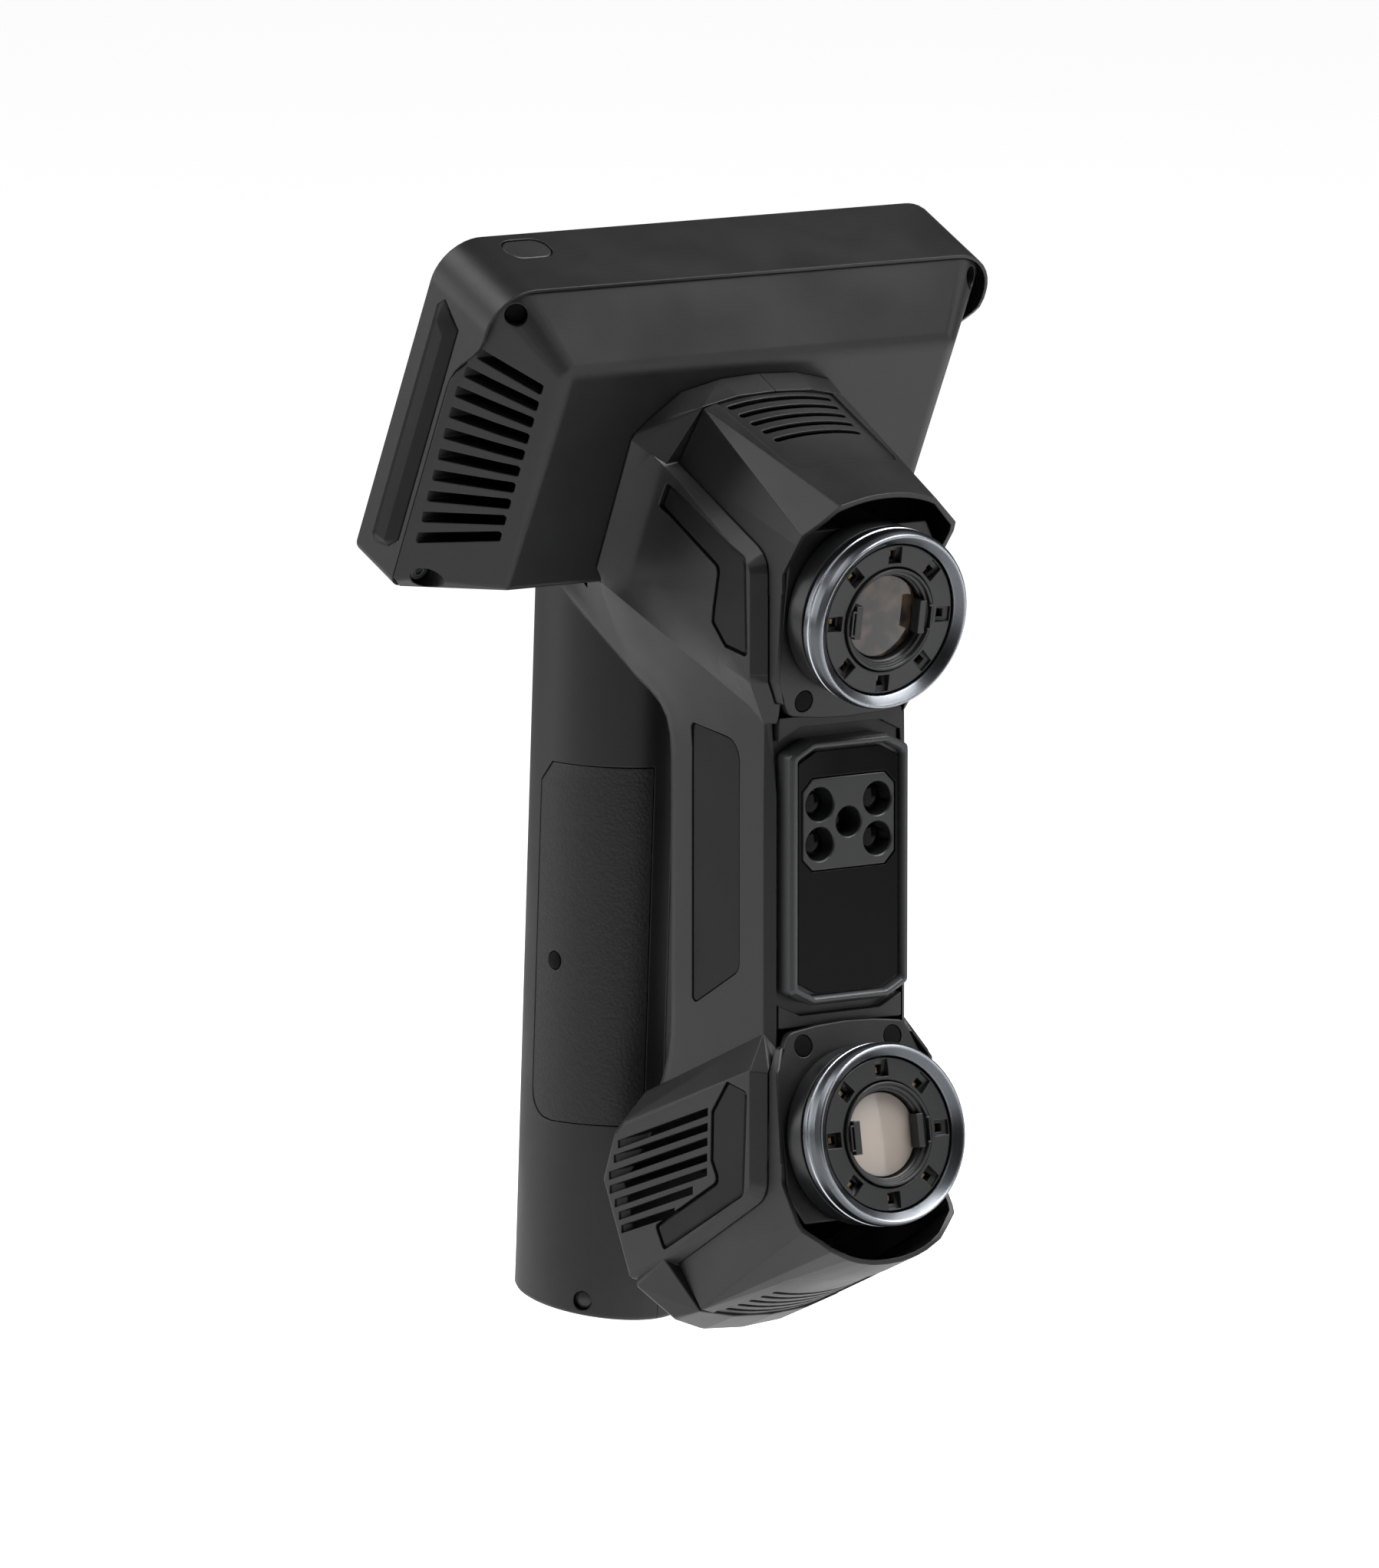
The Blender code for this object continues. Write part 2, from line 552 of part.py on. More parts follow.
def body_cavity(datum):
    """Room inside the shells for optics, boards and the battery."""
    inner = HORN_HALF - WALL
    room = prism("bar_room", [(-20.4, -5), (20.4, -5), (20.4, 40), (14, 46.8), (-14, 46.8), (-20.4, 40)],
                 -64.0, 52.0, "Z", datum)
    side = [(22.6, -14, 46.5), (22.6, -14, 84), (inner, 3.8, 54.0), (inner, 3.8, 78.5), (inner, 37.5, 99.0),
            (20.0, 3.0, 46.5), (20.0, 44.0, 50.0), (18.0, 10.0, 100.0)]
    upper = mirrored(side + [(33.0, 46.0, 104.0), (32.5, 59.0, 79.0), (29.0, 60.5, 73.5), (18.0, 80.0, 66.0)])
    crest = mirrored([(20.0, 24.0, 110.0), (21.5, 38.0, 118.5), (0.0, 24.0, 114.0), (0.0, 36.0, 122.0),
                      (30.0, 50.0, 96.0), (24.0, 30.0, 98.0)])
    lower = mirrored(flipped(side) + [(inner, 52.5, -112.0), (inner, 62.0, -89.0), (inner, 57.0, -76.0),
                                      (20.0, 44.0, -58.0)])
    keel = mirrored([(20.0, 26.0, -112.0), (20.0, 42.0, -121.0), (0.0, 26.0, -114.0), (0.0, 42.0, -123.8),
                     (25.0, 50.0, -113.0)])
    bore = loft("handle_room", [oval(HANDLE_A - 3.1, HANDLE_B - 3.1, handle_centre(z), z)
                                for z in (-150.0, -20.0, 46.0)], datum)
    passage = mirrored([(16.0, 62.0, 57.0), (18.0, 62.0, 66.0), (16.0, 82.0, 62.0), (15.0, 100.0, 44.0),
                        (15.0, 112.0, 44.0), (15.0, 100.0, 64.0), (14.0, 82.0, 40.0)])
    return join(room, hull("upper_room", upper, datum), hull("crest_room", crest, datum),
                hull("lower_room", lower, datum), hull("keel_room", keel, datum), bore,
                hull("passage", passage, datum))


def build_shells(datum, head, cameras, look):
    whole = body_envelope(datum)
    cut(whole, body_cavity(datum))
    cut(whole, hood_volume("upper_space", datum, True, GAP), hood_volume("lower_space", datum, False, GAP))
    cut(whole, head_volume("head_space", head))
    cut(whole, thumb_cutter("thumb_slope", datum, 0.0))
    cut(whole, box("front_window", (-20.15, -30, -46), (20.15, 6, 46), datum))
    cut(whole, thumb_recess("thumb_recess", datum, 12.3, 2.4))
    for side in (-1, 1):
        cut(whole, inlay("pocket", datum, side, True, GAP), inlay("pocket", datum, side, False, GAP),
            side_panel("pocket", datum, side, GAP))
        cut(whole, *grille(datum, side))
        cut(whole, grip_wrap("pad_seat", datum, GAP, side))
    for camera, word, up in cameras:
        cut(whole, plate_space(camera, up, 12.0))
    copy = bpy.data.objects.new("right_half", whole.data.copy())
    bpy.context.collection.objects.link(copy)
    copy.parent = datum
    left = keep(whole, box("left_side", (-200, -200, -300), (-GAP / 2, 300, 300), datum))
    right = keep(copy, box("right_side", (GAP / 2, -200, -300), (200, 300, 300), datum))
    rename(left, "body_shell_left", look["shell"])
    rename(right, "body_shell_right", look["shell"])


def inlay_outline(upper, grow):
    """Angular inlay that follows a hood's seam, as (y, z) drawn upward."""
    if upper:
        corners = [(39.6, 93.1), (36.4, 99.1), (5.0, 84.0), (2.0, 80.5), (1.8, 57.8), (11.4, 59.4),
                   (17.0, 65.0), (16.5, 69.0), (14.2, 79.5)]
    else:
        corners = [(42.0, 98.0), (38.6, 103.6), (5.7, 85.4), (2.2, 81.8), (1.8, 57.0), (10.4, 55.5),
                   (17.0, 64.0), (17.3, 77.0), (14.2, 82.2)]
    return grown(corners, grow)


def inlay(name, datum, side, upper, grow, look=None):
    outline = [(y, z if upper else -z) for y, z in inlay_outline(upper, grow)]
    out = HORN_HALF + (-0.1 if look else 3.0)
    reach = sorted((side * (HORN_HALF - TRIM_DEPTH + (GAP if look else 0.0)), side * out))
    return prism(name, outline, reach[0], reach[1], "X", datum, look)


def side_panel(name, datum, side, grow, look=None):
    """Slanted-end name panel on the bar's flank, left blank."""
    corners = [(13.5, -26.8), (34.2, -38.3), (34.2, 36.2), (13.6, 33.2)]
    outline = filleted(grown(corners, grow), [3.5 + grow, 1.2 + grow, 1.2 + grow, 5.0 + grow])
    out = BAR_HALF + (-0.1 if look else 3.0)
    reach = sorted((side * (BAR_HALF - TRIM_DEPTH + (GAP if look else 0.0)), side * out))
    return prism(name, outline, reach[0], reach[1], "X", datum, look)


def grille(datum, side):
    """Slanted vent slots in the lower flank behind the inlay."""
    slots = []
    for i in range(7):
        rear, front = Vector((59.5 - 0.4 * i, -77.5 - 3.9 * i)), Vector((18.6 + 0.1 * i, -64.0 - 3.9 * i))
        if i == 6:
            front = Vector((32.0, -92.6))
        if i == 5:
            front = Vector((24.0, -86.4))
        outline = [tuple(front), tuple(rear), (rear[0], rear[1] - 2.1), (front[0], front[1] - 2.1)]
        reach = sorted((side * 24.0, side * 40.0))
        slots.append(prism("slot", outline, reach[0], reach[1], "X", datum))
    return slots


def grip_wrap(name, datum, grow, side, look=None):
    """Textured pad let into one flank of the grip, following its oval."""
    rows = []
    start = radians(PAD_ARC[0] + PAD_TURN * grow)
    end = radians(PAD_ARC[1] - PAD_TURN * grow)
    count = 10
    angles = [start + (end - start) * k / count for k in range(count + 1)]
    inner, outer = TRIM_DEPTH - (GAP if look else 0.0), 0.1 if look else -2.0
    for z in (PAD_LOW - grow, PAD_HIGH + grow):
        ring = []
        for shrink, order in ((outer, angles), (inner, list(reversed(angles)))):
            ring += [(side * (HANDLE_A - shrink) * cos(t), handle_centre(z) + (HANDLE_B - shrink) * sin(t), z)
                     for t in order]
        rows.append(ring)
    return loft(name, rows, datum, look, smooth=30)


def thumb_recess(name, datum, half, depth, look=None, top=None):
    """Rounded plate or pocket on the thumb slope; half is its half width, depth how far it goes in."""
    (y1, z1), (y0, z0) = BUTTON_SLOPE_TOP, BUTTON_SLOPE_LOW
    run = Vector((0, y1 - y0, z1 - z0)).normalized()
    normal = Vector((0, run[2], -run[1]))
    middle = Vector((0, (y1 + y0) / 2, (z1 + z0) / 2))
    outline = filleted([(-half, -11.2), (half, -11.2), (half, 9.6), (-half, 9.6)], 4.0)
    if look:
        outline = filleted([(-half, -10.9), (half, -10.9), (half, 9.3), (-half, 9.3)], 3.7)
    out = 6.0 if top is None else top
    rings = [[tuple(middle + Vector((x, 0, 0)) + run * u + normal * w) for x, u in outline]
             for w in (-depth, out)]
    return loft(name, rings, datum, look)


def thumb_point(x, along, out):
    (y1, z1), (y0, z0) = BUTTON_SLOPE_TOP, BUTTON_SLOPE_LOW
    run = Vector((0, y1 - y0, z1 - z0)).normalized()
    normal = Vector((0, run[2], -run[1]))
    middle = Vector((0, (y1 + y0) / 2, (z1 + z0) / 2))
    return middle + Vector((x, 0, 0)) + run * along + normal * out


def build_body_trim(datum, look):
    for side, word in ((-1, "left"), (1, "right")):
        inlay("upper_inlay_" + word, datum, side, True, 0.0, look["trim"])
        inlay("lower_inlay_" + word, datum, side, False, 0.0, look["trim"])
        side_panel("side_panel_" + word, datum, side, 0.0, look["trim"])
        grip_wrap("grip_pad_" + word, datum, 0.0, side, look["rubber"])


def build_hood(datum, camera, upper, look):
    word = "upper" if upper else "lower"
    solid = hull(word + "_hood", place(hood_points(0.0, upper), upper), datum)
    room = hull("hood_room", place(hood_points(WALL, upper), upper), datum)
    cut(solid, room)
    for side in (-1, 1):
        cheek = [(side * x, y, z) for x, y, z in cheek_points()]
        join(solid, hull("cheek", place(cheek, upper), datum))
    cut(solid, hull("hood_room", place(hood_points(WALL, upper), upper), datum))
    cut(solid, plate_space(camera, 1 if upper else -1, 40.0),
        disc("optics_way", SPIGOT_RADIUS + GAP, -60, 0, camera))
    top, slope = Vector((0, 29.9, 119.4)), Vector((0, -0.914, -0.405))
    for i in range(5):
        centre = top + slope * (1.6 + 4.2 * i)
        half, shift = 16.4 - 0.7 * i, 3.0
        low = [centre + Vector((sx * half, 0, 0)) + slope * sy + Vector((0, shift, -7)) for sx, sy in
               ((-1, -0.9), (1, -0.9), (1, 0.9), (-1, 0.9))]
        slot = [tuple(p) for p in low] + [tuple(p + Vector((0, -2 * shift, 16))) for p in low]
        cut(solid, hull("slot", place(slot, upper), datum))
    rename(solid, word + "_hood", look["shell"])


# ---------------------------------------------------------------- optics

def plate_outline(up):
    """Lens plate seen along the lens; up is the sign of the way towards the hood."""
    corners = [(18.4, -28.7), (22.5, -18.5), (22.5, 14.0), (19.0, 21.5)]
    outline = [(-x, y) for x, y in corners] + [(x, y) for x, y in reversed(corners)] + [(0.0, -30.3)]
    return [(x, y * up) for x, y in outline]


def plate_space(camera, up, high):
    """Clearance round a lens plate."""
    low = PLATE_DEPTH - PLATE_THICK - GAP
    return prism("plate_space", grown(plate_outline(up), GAP), low, high, "Z", camera)


def build_lens_plate(camera, word, up, look):
    """Tilted plate that carries a lens barrel."""
    bar = prism(word + "_lens_plate", plate_outline(up), PLATE_DEPTH - PLATE_THICK, PLATE_DEPTH, "Z", camera)
    for side, name in ((-1, "left"), (1, "right")):
        spot = (PLATE_CAP[0] * side, -PLATE_CAP[1] * up)
        cut(bar, disc("cap_seat", CAP_RADIUS + GAP, PLATE_DEPTH - 1.4, PLATE_DEPTH + 5, camera, None, 20,
                      spot))
        disc("%s_plate_cap_%s" % (word, name), CAP_RADIUS, PLATE_DEPTH - 1.1, PLATE_DEPTH - 0.1, camera,
             look["cap"], 20, spot)
    cut(bar, disc("bore", SPIGOT_RADIUS + GAP, -40, 10, camera))
    rename(bar, word + "_lens_plate", look["shell"])


def build_camera(camera, word, look):
    """Everything turned about one camera's axis, front face of its light ring at zero."""
    turned(word + "_barrel",
           [(14.0, -17.0), (SPIGOT_RADIUS, -17.0), (SPIGOT_RADIUS, -12.8), (BARREL_RADIUS, -12.8),
            (BARREL_RADIUS, -6.2), (14.0, -6.2)], camera, look["barrel"])
    turned(word + "_bezel_ring",
           [(20.4, -5.9), (23.3, -5.9), (RING_RADIUS, -5.0), (RING_RADIUS, 0.6), (23.3, 2.2), (22.9, 2.4),
            (20.4, 0.2)], camera, look["aluminium"])
    lights = turned(word + "_light_ring",
                    [(14.1, -5.0), (LED_FACE_RADIUS, -5.0), (LED_FACE_RADIUS, 0.0), (14.1, 0.0)], camera)
    for i in range(LED_COUNT):
        turn = Matrix.Rotation(2 * pi * i / LED_COUNT, 4, "Z")
        corners = [turn @ Vector((x, y, z)) for z in (-2.6, 3.0) for x, y in
                   ((14.9, -2.2), (19.2, -2.2), (19.2, 2.2), (14.9, 2.2))]
        cut(lights, hull("slot", corners, camera))
    rename(lights, word + "_light_ring", look["barrel"])
    turned(word + "_window_ring", [(11.4, -8.0), (13.7, -8.0), (13.7, 0.7), (13.1, 0.7), (11.4, -1.6)],
           camera, look["barrel"], 28)
    disc(word + "_window_glass", 11.1, -4.6, -3.2, camera, look["glass"], 28)
    turned(word + "_objective", [(0, -24.0), (12.4, -24.0), (12.4, -12.0), (10.2, -9.0), (9.4, -8.4),
                                 (8.2, -9.6), (0, -8.6)], camera, look["barrel"], 28)
    box(word + "_camera_module", (-14, -14, -44), (14, 14, -24.3), camera, look["metal"])


def build_chassis(datum, cameras, look):
    """Stiff aluminium back plate with a cradle for each camera module."""
    plate = box("optical_chassis", (-15, 27.5, -82), (15, 32.0, 82), datum)
    for camera, word, up in cameras:
        join(plate, box("cradle", (-17.5, -17.5, -52.0), (17.5, 17.5, -28.0), camera))
    for camera, word, up in cameras:
        cut(plate, box("module_bay", (-14.3, -14.3, -46.0), (14.3, 14.3, 0.0), camera))
    cut(plate, box("rear_trim", (-40, 32.0, -100), (40, 60, 100), datum))
    cut(plate, box("cable_way", (-7, 20, -30), (7, 40, 30), datum))
    rename(plate, "optical_chassis", look["metal"])
    board = box("imaging_board", (-17, 36.0, -44), (17, 37.6, 40), datum)
    join(board, box("chip", (-8, 34.4, 6), (8, 36.4, 22), datum),
         box("connector", (-10, 33.4, -38), (10, 36.4, -31), datum))
    rename(board, "imaging_board", look["board"])


def build_projector(datum, look):
    half_x, half_z = PROJECTOR_HALF
    cut_x, cut_z = PROJECTOR_CUT
    cover = box("bar_front_cover", (-19.85, 0.0, -41.0), (19.85, 4.4, 41.0), datum)
    cut(cover, prism("pocket", octagon(24.0, 38.6, 11.0, 5.4), -10, 2.0, "Y", datum))
    cut(cover, prism("neck_way", octagon(16.8, 32.3, 6.0, 3.4), -10, 20, "Y", datum))
    rename(cover, "bar_front_cover", look["shell"])
    rim = filleted(octagon(half_x, half_z, cut_x, cut_z), 1.2, 2)
    face = filleted(octagon(half_x - 0.7, half_z - 0.7, cut_x - 0.3, cut_z - 0.3), 1.0, 2)
    rings = [[(x, y, z) for x, z in outline] for y, outline in
             ((1.6, rim), (PROJECTOR_FRONT + 0.7, rim), (PROJECTOR_FRONT, face))]
    body = loft("projector_frame", rings, datum)
    join(body, prism("neck", octagon(16.4, 31.9, 5.8, 3.2), 0.0, 9.0, "Y", datum))
    cut(body, prism("mouth", octagon(16.5, 32.2, 6.0, 3.2), -20, -2.2, "Y", datum),
        prism("inside", octagon(14.2, 30.0, 4.6, 2.4), -20, 30, "Y", datum))
    rename(body, "projector_frame", look["frame"])
    glass = prism("projector_glass", octagon(16.2, 31.9, 5.9, 3.1), -3.5, -2.5, "Y", datum)
    window = octagon(14.9 + GAP, 12.1 + GAP, 3.3, 3.3)
    cut(glass, prism("window", [(x, z + APERTURE_CENTRE) for x, z in window], -20, 20, "Y", datum))
    rename(glass, "projector_glass", look["gloss"])
    face = [(x, z + APERTURE_CENTRE) for x, z in octagon(14.9, 12.1, 3.2, 3.2)]
    root = [(x, z + APERTURE_CENTRE) for x, z in octagon(13.6, 11.6, 3.0, 3.0)]
    block = prism("aperture_block", face, -3.6, -2.5, "Y", datum)
    join(block, prism("boss", root, -2.6, 4.0, "Y", datum))
    for x, z in aperture_places():
        cut(block, along_y(disc("hole", APERTURE_RADIUS, -20, 20, datum, None, 20), x, z))
    rename(block, "aperture_block", look["frame"])
    laser = box("laser_projector", (-13.2, 12.0, 1.0), (13.2, 25.0, 24.2), datum)
    for index, (x, z) in enumerate(aperture_places()):
        if index:
            join(laser, along_y(disc("tube", 3.6, 5.0, 13.0, datum, None, 16), x, z))
    rename(laser, "laser_projector", look["metal"])
    profile = [(0, 4.6), (2.6, 4.6), (3.6, 5.4), (3.6, 11.6), (0, 11.6)]
    texture = turned("texture_camera", profile, datum, None, 20)
    along_y(texture, 0.0, APERTURE_CENTRE)
    rename(texture, "texture_camera", look["barrel"])


def aperture_places():
    """Middle aperture first, then the four round it, as (x, z)."""
    step_x, step_z = APERTURE_STEP
    corners = [(sx * step_x, APERTURE_CENTRE + sz * step_z) for sx in (-1, 1) for sz in (-1, 1)]
    return [(0.0, APERTURE_CENTRE)] + corners


def along_y(target, x, z):
    """Lay a piece turned about Z along +Y instead, through (x, z)."""
    target.data.transform(Matrix.Rotation(-pi / 2, 4, "X"))
    target.data.transform(Matrix.Translation(Vector((x, 0, z)) * MM))
    bpy.context.view_layer.update()
    return target


# ---------------------------------------------------------------- handle

def build_handle(datum, look):
    origin = Vector((0, BASE_Y, BASE_Z))
    pack = loft("battery_pack", [oval(BATTERY_A, BATTERY_B, handle_centre(z), z)
                                 for z in (-150.0, BASE_Z + BATTERY_LENGTH)], datum)
    cut(pack, base_cutter(datum, 0.0))
    rename(pack, "battery_pack", look["trim"])
    move_origin(pack, origin)
    dock_height = BASE_Z + BATTERY_LENGTH + 2.0
    loft("battery_dock", [oval(BATTERY_A - 0.5, BATTERY_B - 0.5, handle_centre(z), z)
                          for z in (dock_height, dock_height + 6.0)], datum, look["frame"])

    plate = thumb_recess("thumb_panel", datum, 12.0, 2.1, look["trim"], top=0.0)
    keys = [("scan_button", 0.0, -4.6, 4.6), ("plus_button", -6.2, 4.6, 2.8), ("minus_button", 6.2, 4.6, 2.8)]
    for name, x, along, radius in keys:
        cut(plate, thumb_disc("key_hole", datum, x, along, radius + 0.25, -6, 6))
        key = thumb_disc(name, datum, x, along, radius, -1.8, 1.3, look["button"])
        rename(key, name, look["button"])
        move_origin(key, thumb_point(x, along, 0.0))
    rename(plate, "thumb_panel", look["trim"])


def thumb_disc(name, datum, x, along, radius, low, high, look=None):
    count = 20
    around = [(x + radius * cos(2 * pi * i / count), along + radius * sin(2 * pi * i / count))
              for i in range(count)]
    rings = [[tuple(thumb_point(across, up, out)) for across, up in around] for out in (low, high)]
    return loft(name, rings, datum, look, smooth=35)


def main():
    clear_scene()
    look = {
        "shell": material("charcoal_shell", (0.055, 0.055, 0.057), 0.55),
        "trim": material("black_trim", (0.022, 0.022, 0.023), 0.6),
        "frame": material("graphite_frame", (0.075, 0.075, 0.078), 0.4),
        "barrel": material("black_barrel", (0.018, 0.018, 0.019), 0.5),
        "aluminium": material("anodised_ring", (0.46, 0.49, 0.53), 0.28, 1.0),
        "metal": material("milled_aluminium", (0.55, 0.56, 0.58), 0.4, 1.0),
        "glass": material("coated_glass", (0.10, 0.09, 0.08), 0.05),
        "gloss": material("gloss_black", (0.004, 0.004, 0.004), 0.06),
        "panel": material("display_panel", (0.01, 0.012, 0.016), 0.2),
        "board": material("circuit_board", (0.02, 0.10, 0.05), 0.5),
        "rubber": material("soft_rubber", (0.03, 0.03, 0.031), 0.8),
        "cap": material("screw_cap", (0.03, 0.03, 0.031), 0.65),
        "button": material("key_black", (0.04, 0.04, 0.041), 0.45),
    }
    datum = frame("datum", (0.0, -BASE_Y, -BASE_Z))
    tilt = radians(HEAD_TILT)
    head = frame("head_frame", (0.0, HEAD_OFFSET * cos(tilt), HEAD_OFFSET * sin(tilt)), 90.0 + HEAD_TILT,
                 datum)
    upper = frame("upper_camera", (0.0, -LENS_REACH, LENS_HEIGHT), 90.0 + TOE_IN, datum)
    lower = frame("lower_camera", (0.0, -LENS_REACH, -LENS_HEIGHT), 90.0 - TOE_IN, datum)
    cameras = ((upper, "upper", 1), (lower, "lower", -1))
    build_head(head, look)
    build_shells(datum, head, cameras, look)
    build_body_trim(datum, look)
    for camera, word, up in cameras:
        build_hood(datum, camera, up > 0, look)
        build_lens_plate(camera, word, up, look)
        build_camera(camera, word, look)
    build_chassis(datum, cameras, look)
    build_projector(datum, look)
    build_handle(datum, look)


main()
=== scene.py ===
from math import cos, pi, radians, sin, tan

import bmesh
import bpy
import numpy as np
from mathutils import Matrix, Vector


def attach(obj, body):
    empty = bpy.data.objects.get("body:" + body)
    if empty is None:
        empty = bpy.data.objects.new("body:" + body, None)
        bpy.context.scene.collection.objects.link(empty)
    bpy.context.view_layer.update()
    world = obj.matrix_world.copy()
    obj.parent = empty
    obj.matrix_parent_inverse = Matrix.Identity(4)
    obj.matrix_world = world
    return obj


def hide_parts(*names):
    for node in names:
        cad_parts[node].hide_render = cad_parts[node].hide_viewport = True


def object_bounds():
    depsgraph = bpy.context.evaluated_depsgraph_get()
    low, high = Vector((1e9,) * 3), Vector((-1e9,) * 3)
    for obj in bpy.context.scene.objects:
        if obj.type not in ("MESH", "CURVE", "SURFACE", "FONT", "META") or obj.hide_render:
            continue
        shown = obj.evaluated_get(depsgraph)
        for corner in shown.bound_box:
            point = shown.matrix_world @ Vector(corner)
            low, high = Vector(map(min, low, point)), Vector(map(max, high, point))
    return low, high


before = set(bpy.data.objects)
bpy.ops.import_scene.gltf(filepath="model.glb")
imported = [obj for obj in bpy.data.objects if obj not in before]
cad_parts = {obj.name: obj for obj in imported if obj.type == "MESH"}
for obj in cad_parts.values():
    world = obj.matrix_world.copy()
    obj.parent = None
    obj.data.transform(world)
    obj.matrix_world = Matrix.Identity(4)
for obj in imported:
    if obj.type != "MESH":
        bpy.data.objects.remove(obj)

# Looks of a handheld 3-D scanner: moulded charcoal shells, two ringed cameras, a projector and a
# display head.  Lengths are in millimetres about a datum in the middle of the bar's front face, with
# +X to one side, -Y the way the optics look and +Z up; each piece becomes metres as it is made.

CAD_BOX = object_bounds()
SCENE = bpy.context.scene

MM = 0.001
GAP = 0.3                             # clearance between neighbouring pieces
WALL = 2.4                            # wall of the moulded shells
LIP_WALL = 1.3                        # thinner edge of the hoods
REACH = 200.0                         # a cutter this long runs right out of a piece
WELD = 0.003                          # points closer than this are merged after a cut

BAR_HALF, BAR_DEPTH = 22.85, 49.5     # optics bar
BAR_CHAMFER, BAR_REAR_RADIUS = 2.7, 8.0
HORN_HALF, SEAM_HALF = 29.0, 25.3     # flared stretches beside the cameras, and the hood's seam
LENS_HEIGHT, LENS_REACH, TOE_IN = 67.6, 21.0, 9.4
PLATE_FRONT, PLATE_THICK = -13.7, 2.6
SPIGOT_RADIUS = 20.4

HEAD_TILT, HEAD_OFFSET = 25.5, 129.7  # display head
HEAD_HALF, HEAD_LOW, HEAD_HIGH = 81.0, 25.4, 120.2
HEAD_CORNER, HEAD_FOOT, RIM_WALL, RIM_DEEP = 12.5, 3.0, 0.9, 28.0
COVER_START = 19.0                    # depth behind the screen where the back cover starts
SLOPE_SIDE, SLOPE_TOP = 22.6, 27.6    # and where its slopes spring, at the sides and at the top
BACK_HALF, BACK_LOW, BACK_HIGH, BACK_DEPTH = 62.0, 36.8, 102.0, 42.5

HANDLE_A, HANDLE_B, HANDLE_TILT = 20.5, 26.5, 3.0
BASE_Y, BASE_Z, BASE_TILT = 108.6, -129.7, 6.0
BATTERY_A, BATTERY_B, BATTERY_LENGTH = 16.9, 22.9, 104.0
THUMB_TOP, THUMB_LOW = Vector((0, 106.6, 77.4)), Vector((0, 124.6, 55.0))

DATUM = Matrix.Translation((0, -BASE_Y * MM, -BASE_Z * MM)) @ Matrix.Scale(MM, 4)


def local_frame(origin, turn):
    return DATUM @ Matrix.Translation(origin) @ Matrix.Rotation(radians(turn), 4, "X")


HEAD_AXIS = Vector((0, cos(radians(HEAD_TILT)), sin(radians(HEAD_TILT))))
HEAD = local_frame(HEAD_AXIS * HEAD_OFFSET, 90 + HEAD_TILT)
CAMERAS = {"upper": local_frame((0, -LENS_REACH, LENS_HEIGHT), 90 + TOE_IN),
           "lower": local_frame((0, -LENS_REACH, -LENS_HEIGHT), 90 - TOE_IN)}
UP = {"upper": 1, "lower": -1}        # way from the bar to each camera's hood


# ---------------------------------------------------------------- materials

def feed(tree, node, inputs):
    """Join each named input to a socket, or give it a value."""
    for name, value in inputs.items():
        if isinstance(value, bpy.types.NodeSocket):
            tree.links.new(value, node.inputs[name])
        else:
            node.inputs[name].default_value = value
    return node


